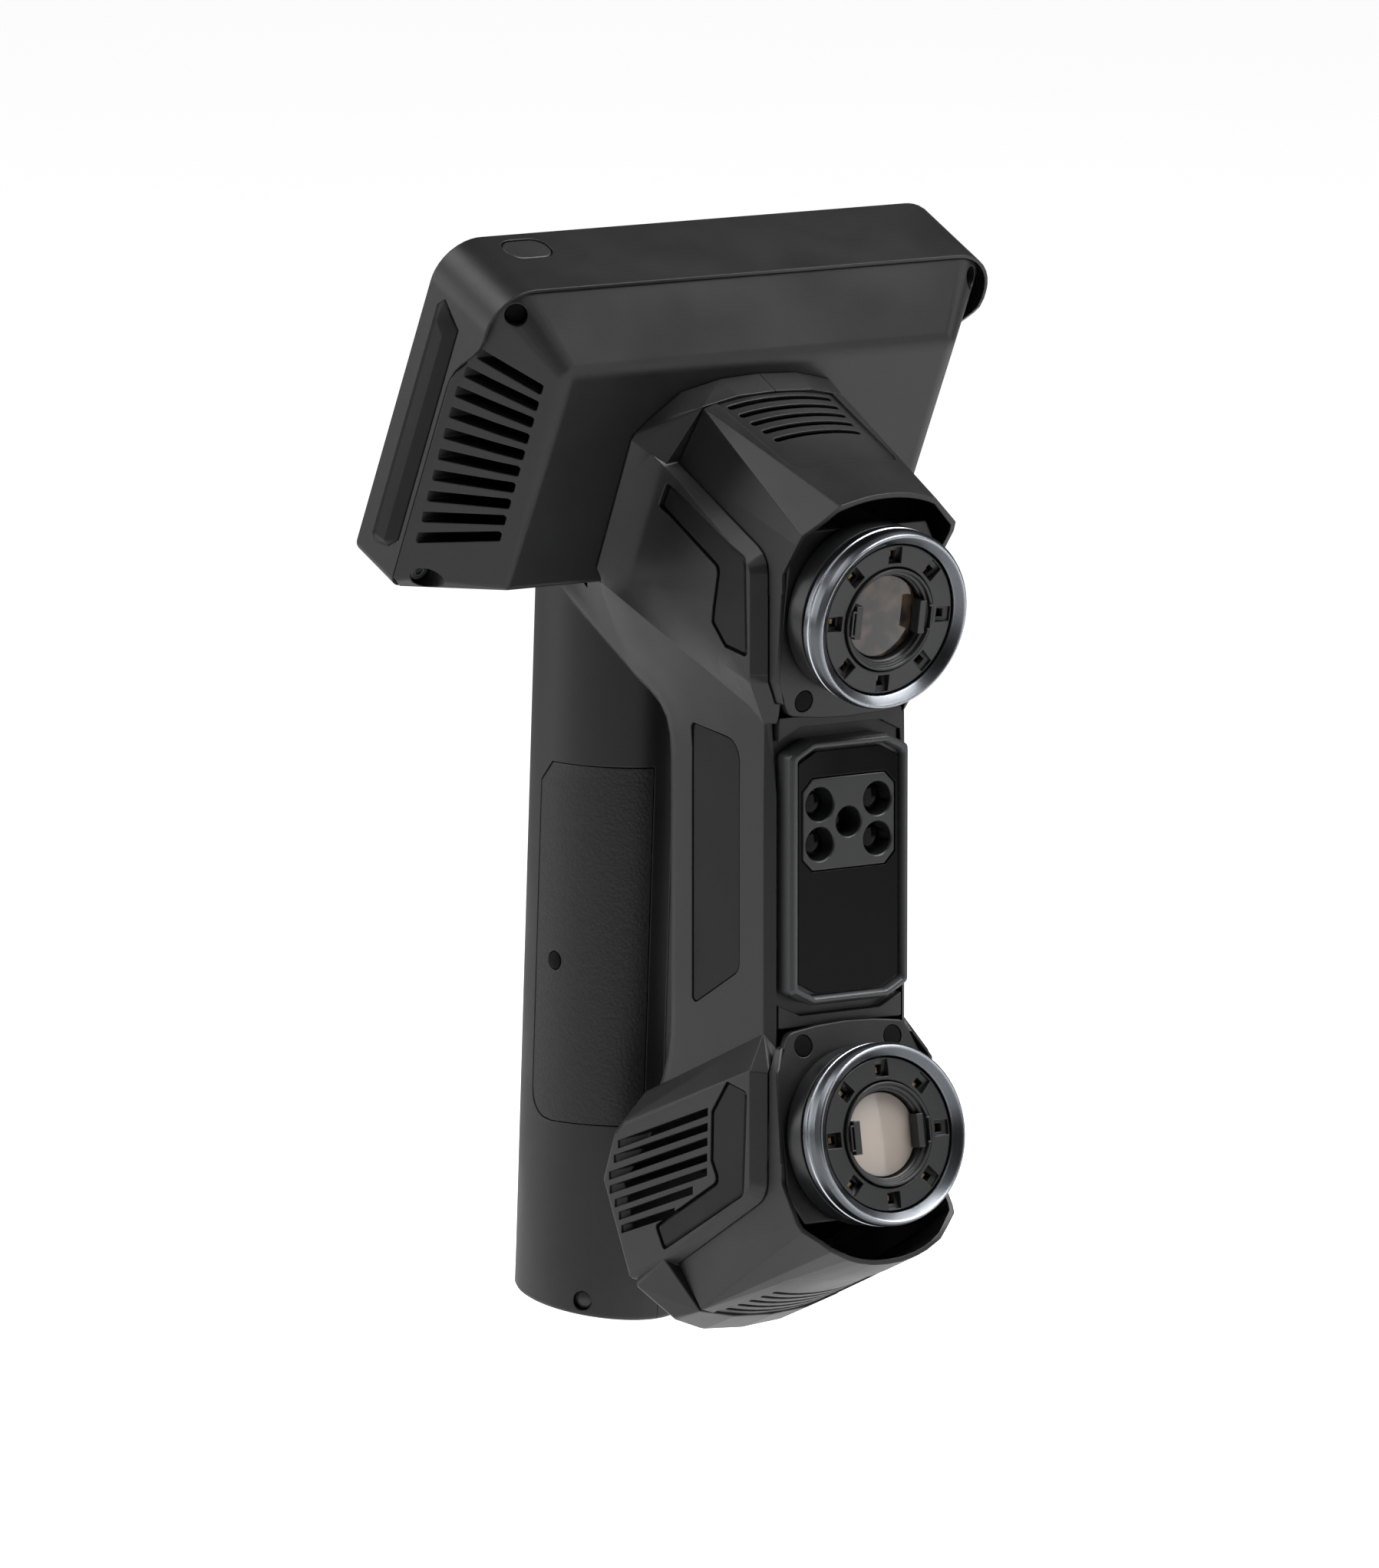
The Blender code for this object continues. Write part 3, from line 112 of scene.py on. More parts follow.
class Nodes:
    """A material and short ways to add and join its nodes."""

    def __init__(self, name):
        self.material = bpy.data.materials.new(name)
        self.material.use_nodes = True
        self.tree = self.material.node_tree
        self.place = self.add("ShaderNodeTexCoord").outputs["Object"]

    def add(self, kind, inputs=None, **settings):
        node = self.tree.nodes.new(kind)
        for key, value in settings.items():
            setattr(node, key, value)
        return feed(self.tree, node, inputs or {})

    def noise(self, size, detail=2.0, stretch=(1, 1, 1)):
        """Noise whose features are about size millimetres across."""
        mapping = self.add("ShaderNodeMapping", {"Scale": stretch, "Vector": self.place})
        spot = mapping.outputs["Vector"]
        node = self.add("ShaderNodeTexNoise", {"Scale": 1.0 / (size * MM), "Detail": detail, "Vector": spot})
        return node.outputs["Fac"]

    def cells(self, size):
        node = self.add("ShaderNodeTexVoronoi", {"Scale": 1.0 / (size * MM), "Vector": self.place})
        return node.outputs["Distance"]

    def ramp(self, source, low, high, first, last):
        """Colours from first to last as the source goes from low to high."""
        node = self.add("ShaderNodeValToRGB", {"Fac": source})
        for stop, position, colour in zip(node.color_ramp.elements, (low, high), (first, last)):
            stop.position, stop.color = position, (*colour, 1)
        return node.outputs["Color"]

    def tones(self, source, low, high, colour, first, last):
        """Ramp between two shades of one colour."""
        return self.ramp(source, low, high, shade(colour, first), shade(colour, last))

    def spread(self, source, low, high):
        node = self.add("ShaderNodeMapRange", {"Value": source, "From Min": 0.3, "From Max": 0.7,
                                               "To Min": low, "To Max": high})
        return node.outputs["Result"]

    def mix(self, factor, first, second):
        node = self.add("ShaderNodeMix", {"Factor": factor, "A": first, "B": second}, data_type="RGBA")
        return node.outputs["Result"]

    def softened(self, radius):
        """Shading normal with the edges rounded to a radius in millimetres."""
        return self.add("ShaderNodeBevel", {"Radius": radius * MM}, samples=6).outputs["Normal"]

    def edges(self, radius):
        """One on edges, where the lighter colour of wear and of painted edge highlights goes, nothing on flat
        ground.
        """
        flat = self.add("ShaderNodeNewGeometry").outputs["Normal"]
        angle = self.add("ShaderNodeVectorMath", {0: self.softened(radius), 1: flat}, operation="DOT_PRODUCT")
        return self.ramp(angle.outputs["Value"], 0.86, 0.985, (1, 1, 1), (0, 0, 0))

    def finish(self, colour, roughness, more):
        """Feed the shader and give the material back."""
        shader = self.tree.nodes["Principled BSDF"]
        feed(self.tree, shader, {"Base Color": colour, "Roughness": roughness, **more})
        return self.material

    def relief(self, height, depth, radius):
        """Bumps of a depth in millimetres, over edges rounded to a radius."""
        node = self.add("ShaderNodeBump", {"Strength": 1.0, "Distance": depth * MM, "Height": height,
                                           "Normal": self.softened(radius)})
        return node.outputs["Normal"]


def shade(colour, factor):
    return tuple(channel * factor for channel in colour)


def moulded(name, colour, roughness, grain=0.42, depth=0.014, wear_and_highlight=1.9, rounding=0.45, sheen=0.5):
    """Spark-eroded plastic: fine grain, faint mottling, and lighter edges, partly wear from handling and
    partly a painted edge highlight.
    """
    nodes = Nodes(name)
    fine, broad = nodes.noise(grain), nodes.noise(26.0, 3.0)
    ground = nodes.tones(broad, 0.35, 0.65, colour, 0.9, 1.1)
    speck = nodes.tones(fine, 0.35, 0.7, colour, 0.72, 1.3)
    # Edge colour lighter by this factor: partly wear from handling, partly a painted edge highlight.
    rubbed_and_highlit = nodes.tones(broad, 0.3, 0.7, colour, wear_and_highlight, 1.2)
    worn_and_highlit = nodes.mix(nodes.edges(rounding * 1.2), nodes.mix(0.5, ground, speck), rubbed_and_highlit)
    return nodes.finish(worn_and_highlit, nodes.spread(broad, roughness - 0.04, roughness + 0.05),
                        {"Specular IOR Level": sheen, "Normal": nodes.relief(fine, depth, rounding)})


def stippled(name, colour, roughness):
    """Soft-touch rubber with a pebbled surface, its colour darker in the hollows between pebbles as painted
    shade and lighter on their tops as painted highlight.
    """
    nodes = Nodes(name)
    pebble, fine, broad = nodes.cells(0.9), nodes.noise(0.5), nodes.noise(22.0, 3.0)
    # Pebble tones: painted shade in the hollows the bump makes and painted highlight on the pebble tops,
    # mixed with random mottling.
    mottled_and_shaded = nodes.mix(broad, nodes.tones(pebble, 0.1, 0.7, colour, 1.35, 0.6),
                        nodes.tones(fine, 0.3, 0.7, colour, 0.8, 1.25))
    return nodes.finish(mottled_and_shaded, nodes.spread(fine, roughness - 0.06, roughness + 0.06),
                        {"Normal": nodes.relief(pebble, -0.07, 0.4)})


def metal(name, colour, roughness, brushed=(1, 1, 1), depth=0.004, bright=1.2, rounding=0.25):
    """Brushed metal whose turned edges are lightened as a painted highlight; bright says how much lighter
    they are.
    """
    nodes = Nodes(name)
    lines, cloud = nodes.noise(0.35, 3.0, brushed), nodes.noise(9.0, 3.0)
    flat = nodes.tones(lines, 0.3, 0.7, colour, 0.9, 1.07)
    # Edge colour: a painted highlight on the turned edges.
    edge = nodes.tones(lines, 0.3, 0.7, colour, 0.95 * bright, bright)
    return nodes.finish(nodes.mix(nodes.edges(rounding), flat, edge),
                        nodes.spread(cloud, roughness - 0.05, roughness + 0.05),
                        {"Metallic": 1.0, "Normal": nodes.relief(lines, depth, 0.25)})


def glossy(name, colour, roughness, tint_and_reflection=None, tint_and_reflection_size=7.0, coat=0.6, mirror=0.5):
    """Polished glass or lacquer with a faint smear, in patches of a second colour: partly the coating's own
    tint, partly painted reflections such as the amber glints on the upper window.
    """
    nodes = Nodes(name)
    smear, tint_and_reflection_patch = nodes.noise(14.0, 3.0), nodes.noise(tint_and_reflection_size, 1.0)
    # Patches of the second colour: tint of the coating and painted reflections.
    return nodes.finish(nodes.ramp(tint_and_reflection_patch, 0.44, 0.72, colour, tint_and_reflection or shade(colour, 1.4)),
                        nodes.spread(smear, roughness, roughness + 0.05),
                        {"Coat Weight": coat, "Coat Roughness": 0.03, "Specular IOR Level": mirror,
                         "Normal": nodes.relief(smear, 0.002, 0.5)})


def circuit(name):
    """Solder mask with darker traces and bright pads."""
    nodes = Nodes(name)
    traces = nodes.add("ShaderNodeTexBrick", {
        "Scale": 1.0 / (9.0 * MM), "Mortar Size": 0.04, "Vector": nodes.place,
        "Color1": (0.008, 0.045, 0.022, 1), "Color2": (0.010, 0.060, 0.028, 1),
        "Mortar": (0.03, 0.13, 0.06, 1)})
    pads = nodes.ramp(nodes.cells(2.4), 0.12, 0.16, (0.5, 0.42, 0.22), (0, 0, 0))
    spots = nodes.ramp(nodes.cells(2.4), 0.12, 0.16, (1, 1, 1), (0, 0, 0))
    return nodes.finish(nodes.mix(spots, traces.outputs["Color"], pads),
                        nodes.spread(nodes.noise(3.0), 0.35, 0.5),
                        {"Normal": nodes.relief(traces.outputs["Fac"], 0.03, 0.2)})


LOOKS = {
    "shell": moulded("charcoal_shell", (0.010, 0.010, 0.0105), 0.40),
    "black_trim": moulded("black_trim", (0.003, 0.003, 0.0032), 0.50, wear_and_highlight=1.6, sheen=0.28),
    # The frame's edges are lightened 4.5 times: a painted highlight on its chamfers.
    "graphite_frame": moulded("graphite_frame", (0.040, 0.041, 0.043), 0.30, grain=0.25, depth=0.005,
                              wear_and_highlight=4.5, rounding=0.6),
    "black_barrel": moulded("black_barrel", (0.014, 0.0145, 0.0155), 0.34, grain=0.3, depth=0.006),
    # The ring's edges are lightened six times: a painted highlight on its chamfers.
    "anodised_ring": metal("anodised_ring", (0.13, 0.138, 0.15), 0.30, depth=0.001, bright=6.0, rounding=1.3),
    "milled_aluminium": metal("milled_aluminium", (0.60, 0.61, 0.63), 0.36, (1, 8, 8), 0.010),
    # Dark window glass whose amber patches are painted reflections of the ring's lights.
    "coated_glass": glossy("coated_glass", (0.012, 0.010, 0.009), 0.03, (0.085, 0.055, 0.036), 5.0),
    "screen_glass": glossy("screen_glass", (0.006, 0.006, 0.008), 0.04),
    "gloss_black": glossy("gloss_black", (0.001, 0.001, 0.001), 0.05, coat=0.0, mirror=0.12),
    "display_panel": glossy("display_panel", (0.010, 0.013, 0.019), 0.12),
    "circuit_board": circuit("circuit_board"),
    "soft_rubber": stippled("soft_rubber", (0.012, 0.012, 0.0125), 0.5),
    "screw_cap": moulded("screw_cap", (0.002, 0.002, 0.002), 0.6, wear_and_highlight=1.2, sheen=0.12),
    "key_black": moulded("key_black", (0.020, 0.020, 0.021), 0.4, wear_and_highlight=1.5),
}
# Lower window glass: the beige tint is the filter's own, while its paleness and lighter patches are a painted
# reflection of the white surroundings.
BEIGE_GLASS = glossy("filter_glass_and_painted_reflection", (0.335, 0.295, 0.262), 0.05, (0.37, 0.315, 0.27), 9.0)
AMBER = glossy("amber_diode", (0.62, 0.42, 0.16), 0.25, (0.75, 0.62, 0.35), 1.0)
WHITE_PRINT = moulded("white_print", (0.62, 0.62, 0.62), 0.5, wear_and_highlight=1.0, rounding=0.1)


# ---------------------------------------------------------------- solids

def solid(name, shape, place=DATUM):
    """Turn a bmesh drawn in millimetres of a frame into an object."""
    shape.transform(place)
    bmesh.ops.recalc_face_normals(shape, faces=shape.faces)
    mesh = bpy.data.meshes.new(name)
    shape.to_mesh(mesh)
    shape.free()
    made = bpy.data.objects.new(name, mesh)
    SCENE.collection.objects.link(made)
    return made


def wrap(shape):
    result = bmesh.ops.convex_hull(shape, input=shape.verts)
    loose = [item for item in result["geom_interior"] if isinstance(item, bmesh.types.BMVert)]
    bmesh.ops.delete(shape, geom=loose, context="VERTS")


def hull(name, points, place=DATUM):
    shape = bmesh.new()
    for point in points:
        shape.verts.new(point)
    wrap(shape)
    bmesh.ops.dissolve_limit(shape, angle_limit=radians(0.2), verts=shape.verts, edges=shape.edges)
    return solid(name, shape, place)


def ball_directions(detail=2):
    ball = bmesh.new()
    bmesh.ops.create_icosphere(ball, subdivisions=detail, radius=1.0)
    found = [vertex.co.normalized() for vertex in ball.verts]
    ball.free()
    return found


def soft_hull(name, points, radii, place=DATUM, detail=2):
    """Convex solid whose corners and edges are rounded; radii is one number or one for each point."""
    radii = radii if isinstance(radii, (list, tuple)) else [radii] * len(points)
    sharp = bmesh.new()
    radius_of = {sharp.verts.new(point): radius for point, radius in zip(points, radii)}
    wrap(sharp)
    sharp.normal_update()
    around = ball_directions(detail)
    cloud = []
    for vertex in sharp.verts:
        radius, normals = radius_of[vertex], [face.normal.copy() for face in vertex.link_faces]
        if radius <= 0:
            cloud.append(vertex.co.copy())
            continue
        inward = np.linalg.lstsq(np.array(normals), np.full(len(normals), -radius), rcond=0.05)[0]
        centre = vertex.co + Vector(inward)
        cloud += [centre + way * radius for way in around + normals]
    sharp.free()
    return hull(name, cloud, place)


def mirrored(points):
    return [tuple(p) for p in points] + [(-p[0], p[1], p[2]) for p in points]


def flipped(points, upper):
    """The points as they are for the upper camera, or mirrored below the lens axis for the lower one."""
    return [tuple(p) for p in points] if upper else [(x, y, -z) for x, y, z in points]


def loft(name, rings, place=DATUM, looped=False):
    """Solid through rings with the same number of points; looped joins the last ring to the first."""
    shape = bmesh.new()
    rows = [[shape.verts.new(point) for point in ring] for ring in rings]
    count = len(rows[0])
    pairs = list(zip(rows, rows[1:])) + ([(rows[-1], rows[0])] if looped else [])
    for low, high in pairs:
        for i in range(count):
            j = (i + 1) % count
            shape.faces.new((low[i], low[j], high[j], high[i]))
    if not looped:
        shape.faces.new(list(reversed(rows[0])))
        shape.faces.new(rows[-1])
    return solid(name, shape, place)


AXES = {"X": lambda u, v, w: (w, u, v), "Y": lambda u, v, w: (u, w, v), "Z": lambda u, v, w: (u, v, w)}


def stack(name, levels, axis, place=DATUM, looped=False):
    """Solid through flat outlines, given as (height, outline) pairs along one axis."""
    rings = [[AXES[axis](u, v, height) for u, v in outline] for height, outline in levels]
    return loft(name, rings, place, looped)


def prism(name, outline, low, high, axis="Z", place=DATUM):
    return stack(name, [(low, outline), (high, outline)], axis, place)


def plate(name, outline, low, high, axis="Z", place=DATUM, edge=0.4):
    """Prism whose outline is rounded over at its high end."""
    way = 1.0 if high > low else -1.0
    levels = [(low, outline)]
    for k in range(5):
        turn = k * pi / 8
        levels.append((high - way * edge * (1 - sin(turn)), grown(outline, -edge * (1 - cos(turn)))))
    return stack(name, levels, axis, place)


def rectangle(x0, y0, x1, y1):
    return [(x0, y0), (x1, y0), (x1, y1), (x0, y1)]


def box(name, low, high, place=DATUM):
    return prism(name, rectangle(*low[:2], *high[:2]), low[2], high[2], "Z", place)


def ring_point(radius, index, count):
    turn = 2 * pi * index / count
    return Vector((radius * cos(turn), radius * sin(turn)))


def turned(name, profile, place=DATUM, segments=96, centre=(0.0, 0.0)):
    """Closed (radius, height) profile turned about the frame's Z axis."""
    shape = bmesh.new()
    rows = []
    for radius, height in profile:
        if radius < 1e-6:
            rows.append([shape.verts.new((*centre, height))] * segments)
            continue
        around = [Vector(centre) + ring_point(radius, i, segments) for i in range(segments)]
        rows.append([shape.verts.new((*spot, height)) for spot in around])
    for row, following in zip(rows, rows[1:] + rows[:1]):
        for i in range(segments):
            j = (i + 1) % segments
            corners = list(dict.fromkeys((row[i], row[j], following[j], following[i])))
            if len(corners) > 2:
                shape.faces.new(corners)
    return solid(name, shape, place)


def disc(name, radius, low, high, place=DATUM, centre=(0.0, 0.0), segments=40, edge=0.0):
    """Cylinder; edge is the rounding of its rim at the high end."""
    top = [(radius, high)]
    if edge:
        top = [(radius, high - edge), (radius - 0.3 * edge, high - 0.3 * edge), (radius - edge, high)]
    return turned(name, [(0, low), (radius, low)] + top + [(0, high)], place, segments, centre)


def facing(centre, normal, frame_matrix=DATUM):
    """Frame at a point with its Z axis along a direction."""
    turn = Vector((0, 0, 1)).rotation_difference(Vector(normal)).to_matrix().to_4x4()
    return frame_matrix @ Matrix.Translation(Vector(centre)) @ turn


def filleted(corners, radius, steps=5):
    """Outline with every corner rounded; radius is one number or one for each corner."""
    radii = radius if isinstance(radius, (list, tuple)) else [radius] * len(corners)
    outline = []
    for i, corner in enumerate(corners):
        here = Vector(corner)
        before = (Vector(corners[i - 1]) - here).normalized()
        after = (Vector(corners[(i + 1) % len(corners)]) - here).normalized()
        if radii[i] <= 0:
            outline.append(tuple(here))
            continue
        half = before.angle(after) / 2
        reach = radii[i] / tan(half)
        start, end = here + before * reach, here + after * reach
        middle = here + (before + after).normalized() * radii[i] / sin(half)
        for k in range(steps + 1):
            arm = (start - middle).lerp(end - middle, k / steps).normalized() * radii[i]
            outline.append(tuple(middle + arm))
    return outline


def grown(corners, amount):
    """The outline moved outward by an amount, corners kept sharp."""
    points = [Vector(c) for c in corners]
    area = sum(a.x * b.y - b.x * a.y for a, b in zip(points, points[1:] + points[:1]))
    turn = 1.0 if area > 0 else -1.0
    moved = []
    for i, here in enumerate(points):
        before = (here - points[i - 1]).normalized()
        after = (points[(i + 1) % len(points)] - here).normalized()
        first, second = Vector((before.y, -before.x)) * turn, Vector((after.y, -after.x)) * turn
        moved.append(tuple(here + (first + second) * amount / (1 + first.dot(second))))
    return moved


def octagon(half_x, half_y, cut_x, cut_y):
    quarter = [(half_x, -half_y + cut_y), (half_x, half_y - cut_y), (half_x - cut_x, half_y)]
    quarter += [(-half_x + cut_x, half_y), (-half_x, half_y - cut_y), (-half_x, -half_y + cut_y)]
    return quarter + [(-half_x + cut_x, -half_y), (half_x - cut_x, -half_y)]


def slab(name, rows):
    """Solid between a surface, given as rows of (x, y, z) points, and its mirror image."""
    shape = bmesh.new()
    grids = [[[shape.verts.new((side * x, y, z)) for x, y, z in row] for row in rows] for side in (1, -1)]
    for grid in grids:
        for first, second in zip(grid, grid[1:]):
            for i in range(len(first) - 1):
                shape.faces.new((first[i], first[i + 1], second[i + 1], second[i]))
    rims = [grid[0] + [row[-1] for row in grid[1:-1]] + list(reversed(grid[-1]))
            + [row[0] for row in reversed(grid[1:-1])] for grid in grids]
    for i in range(len(rims[0])):
        j = (i + 1) % len(rims[0])
        shape.faces.new((rims[0][i], rims[0][j], rims[1][j], rims[1][i]))
    bmesh.ops.triangulate(shape, faces=shape.faces)
    return solid(name, shape)


# ---------------------------------------------------------------- joining, cutting and dressing

def combine(target, tool, operation):
    change = target.modifiers.new(operation, "BOOLEAN")
    change.operation, change.solver, change.object = operation, "EXACT", tool
    bpy.context.view_layer.update()
    evaluated = target.evaluated_get(bpy.context.evaluated_depsgraph_get())
    mesh = bpy.data.meshes.new_from_object(evaluated)
    target.modifiers.clear()
    target.data = mesh
    shape = bmesh.new()
    shape.from_mesh(mesh)
    bmesh.ops.remove_doubles(shape, verts=shape.verts, dist=WELD * MM)
    bmesh.ops.dissolve_degenerate(shape, edges=shape.edges, dist=WELD * MM)
    shape.to_mesh(mesh)
    shape.free()
    bpy.data.objects.remove(tool, do_unlink=True)
    return target


def cut(target, *tools):
    for tool in tools:
        combine(target, tool, "DIFFERENCE")
    return target


def join(target, *tools):
    for tool in tools:
        combine(target, tool, "UNION")
    return target


def keep(target, tool):
    return combine(target, tool, "INTERSECT")


def together(*pieces):
    """Pieces that don't touch, as one object."""
    shape = bmesh.new()
    for piece in pieces:
        shape.from_mesh(piece.data)
        bpy.data.objects.remove(piece, do_unlink=True)
    return solid("together", shape, Matrix.Identity(4))


def dress(made, name, slot, body="scanner", smooth=32, extra=False, look=None):
    """Name a finished piece, give it its material and let it stand for its CAD node, unless it is extra."""
    made.name = name + "_look"
    mesh = made.data
    mesh.materials.clear()
    mesh.materials.append(look or LOOKS[slot])
    mesh.shade_smooth()
    mesh.set_sharp_from_angle(angle=radians(smooth))
    weighted = made.modifiers.new("weighted", "WEIGHTED_NORMAL")
    weighted.keep_sharp = True
    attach(made, body)
    if not extra:
        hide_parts(name)


SIDES = ((-1, "left"), (1, "right"))
GRIP_PLUG = facing((-20.35, 100.45, -35.8), (-0.99, -0.1, 0))
BASE_SCREW = facing((-16.65, 93.0, -127.0), (-0.81, -0.59, 0))


# ---------------------------------------------------------------- display head

def rim_outline(inset):
    """The head's outline seen square to the screen."""
    high, low, half = HEAD_HIGH - inset, HEAD_LOW + inset, HEAD_HALF - inset
    wide, tight = HEAD_CORNER - inset, max(HEAD_FOOT - inset, 0.6)
    return filleted(rectangle(-half, low, half, high), [tight, tight, wide, wide], 10)


def cover_solid(name, grow):
    """Sloping back of the head: flush with the rim low down, tucked inside its deeper lip at the top."""
    inside = RIM_WALL + GAP - grow
    corner, half, high = HEAD_CORNER - inside, HEAD_HALF - inside, HEAD_HIGH - inside
    start = COVER_START + GAP - abs(grow)
    points = []
    for k in range(9):
        turn = k * pi / 16
        for depth in (start, SLOPE_SIDE + (SLOPE_TOP - SLOPE_SIDE) * sin(turn)):
            points.append((half - corner + corner * cos(turn), high - corner + corner * sin(turn), depth))
    flank = HEAD_HALF + grow
    points += [(flank, 88.0, start), (flank, HEAD_LOW + HEAD_FOOT, start),
               (flank - HEAD_FOOT, HEAD_LOW - grow, start)]
    radii = [0.0] * len(points)
    back = BACK_DEPTH + grow
    points += [(BACK_HALF + grow, BACK_LOW - grow, back), (BACK_HALF + grow, BACK_HIGH + grow, back)]
    radii += [2.5 + grow * 0.5, 7.0 + grow * 0.5]
    return soft_hull(name, mirrored(points), radii * 2, HEAD, 3)


def head_space():
    """Clearance round the whole head, for the shells below it."""
    return join(cover_solid("head_space", GAP), prism("rim", rim_outline(-GAP), -GAP, RIM_DEEP, "Z", HEAD))


# Where the side of the bezel steps down to the cover, as (height on the screen, depth).
PARTING = [(86.0, 18.9), (89.0, 19.2), (92.0, 20.2), (94.7, 21.8), (97.4, 23.8), (100.2, 25.8), (103.0, 27.4),
           (106.0, RIM_DEEP)]


def front_half(shift):
    """Everything on the screen's side of the stepped parting line."""
    step = [(-REACH, PARTING[0][1] + shift)] + [(v, z + shift) for v, z in PARTING]
    step += [(REACH, PARTING[-1][1] + shift), (REACH, -REACH), (-REACH, -REACH)]
    return prism("front_half", step, -REACH, REACH, "X", HEAD)


def vent_tools(side):
    """Fanned slots through the sloping flank of the back cover."""
    tools = []
    for i in range(10):
        outer = (101.7 - 6.46 * i, (24.3, 22.7)[i] if i < 2 else 21.8)
        inner = (97.6 - 4.94 * i, 38.7)
        corners = [outer, (outer[0] - 3.3, outer[1]), (inner[0] - 3.1, inner[1]), inner]
        low, high = sorted((side * 58.0, side * 90.0))
        tools.append(prism("vent", filleted(corners, 0.6, 3), low, high, "X", HEAD))
    return together(*tools)


def key_outline(grow):
    return filleted(grown(rectangle(-65.8, 3.85, -51.8, 12.55), grow), 4.2 + grow, 8)


def screen_outline(grow):
    return filleted(grown(rectangle(-77.1, 29.3, 77.1, 116.1), grow), 6.7 + grow, 8)


def build_head():
    bezel = keep(plate("bezel", rim_outline(0.0)[::-1], RIM_DEEP, 0.0, "Z", HEAD, 1.2), front_half(0.0))
    cut(bezel, prism("room", rim_outline(RIM_WALL), 3.6, REACH, "Z", HEAD),
        prism("seat", screen_outline(GAP), -5.0, 1.5, "Z", HEAD),
        box("window", (-73.8, 32.4, -5), (73.8, 112.8, 10), HEAD),
        prism("key_hole", key_outline(GAP), HEAD_HIGH - 6, HEAD_HIGH + 8, "Y", HEAD))
    dress(bezel, "head_bezel", "shell")
    dress(plate("glass", screen_outline(0.0), 1.2, 0.15, "Z", HEAD, 0.3), "screen_glass", "screen_glass")
    key = plate("key", key_outline(0.0), HEAD_HIGH - 5.2, HEAD_HIGH - 0.1, "Y", HEAD, 0.5)
    dress(key, "power_button", "key_black", "power_key")

    cover = cut(cover_solid("cover", 0.0), cover_solid("cover_room", -WALL))
    lip = keep(prism("lip", rim_outline(-8.0), -8.0, RIM_DEEP, "Z", HEAD), front_half(GAP))
    cut(cover, cut(lip, prism("lip_inside", rim_outline(RIM_WALL + GAP), -REACH, REACH, "Z", HEAD)))
    cut(cover, vent_tools(-1), vent_tools(1), box("neck_way", (-20, 52, 38), (20, 84, 50), HEAD))
    for side, word in SIDES:
        lean = facing((72.0 * side, 113.0, 26.4), (0.5 * side, 0.2, 0.85), HEAD)
        cut(cover, disc("cap_seat", 3.05, -1.4, 12.0, lean))
        dress(disc("cap", 2.8, -1.1, 0.15, lean, edge=0.25), "head_screw_cap_" + word, "screw_cap")
        screw = facing((75.2 * side, 31.4, 22.0), (0, 0, 1), HEAD)
        cut(cover, disc("screw_well", 3.2, -6.0, 38.0, screw))
        socket = cut(disc("screw", 2.7, -1.8, 0.0, screw, edge=0.3),
                     prism("hex", [ring_point(1.2, k, 6) for k in range(6)], -1.0, 2.0, "Z", screw))
        dress(socket, "head_screw_" + word, "graphite_frame", extra=True)
        bumper(side, word)
    dress(cover, "head_back_cover", "shell")


def bumper(side, word):
    """Raised strip along the rim beside the screen, with a ridge and a pointed top."""
    foot, top = HEAD_HALF + GAP / 2, HEAD_HALF + 1.8
    edge = [(106.8, 8.5), (102.5, 17.2), (38.5, 17.2), (34.6, 13.8), (32.6, 8.0), (34.0, 6.2), (104.0, 6.2)]
    ridge = [(98.6, 13.7), (36.6, 13.7), (36.0, 9.4), (101.4, 9.4)]
    points = [(side * foot, v, z) for v, z in edge] + [(side * top, v, z) for v, z in ridge]
    dress(soft_hull("bumper", points, [0.0] * len(edge) + [0.35] * len(ridge), HEAD), "side_bumper_" + word,
          "soft_rubber", look=LOOKS["black_trim"])


# ---------------------------------------------------------------- body shells

HEAD_BACK = HEAD_OFFSET - BACK_DEPTH + 0.5      # distance of the cover's back from the datum
FLARE = 15.0                                    # how far before the head the neck starts to widen
EDGE_LINE = filleted([(0.3, 53.0), (0.3, 81.16), (37.0, 103.5)], [0, 3.9, 0], 3)
SEAM_LINE = filleted([(-3.2, 53.0), (-3.2, 84.5), (36.9, 104.5)], [0, 8.0, 0], 3)
CREASE = [(-1.0, 50.5), (0.3, 50.85), (33.0, 61.0), (47.0, 67.0), (61.3, 75.3)]
UNDER_FRONT, UNDER_REAR = Vector((BAR_HALF, 2.7, 41.0)), Vector((32.0, 63.3, 70.9))


def before_head(y, z):
    return HEAD_BACK - HEAD_AXIS.y * y - HEAD_AXIS.z * z


def along(points, share):
    """Point part of the way along a polyline, by its number of spans."""
    spot = min(max(share, 0.0), 1.0) * (len(points) - 1)
    index = min(int(spot), len(points) - 2)
    return Vector(points[index]).lerp(Vector(points[index + 1]), spot - index)


def crossing(points, depth):
    """Where a polyline comes to a depth before the head."""
    depths = [before_head(*p) for p in points]
    for (first, second), (here, there) in zip(zip(points, points[1:]), zip(depths, depths[1:])):
        if (here - depth) * (there - depth) <= 0:
            return Vector(first).lerp(Vector(second), (here - depth) / (here - there))
    return Vector(points[0] if abs(depths[0] - depth) < abs(depths[-1] - depth) else points[-1])


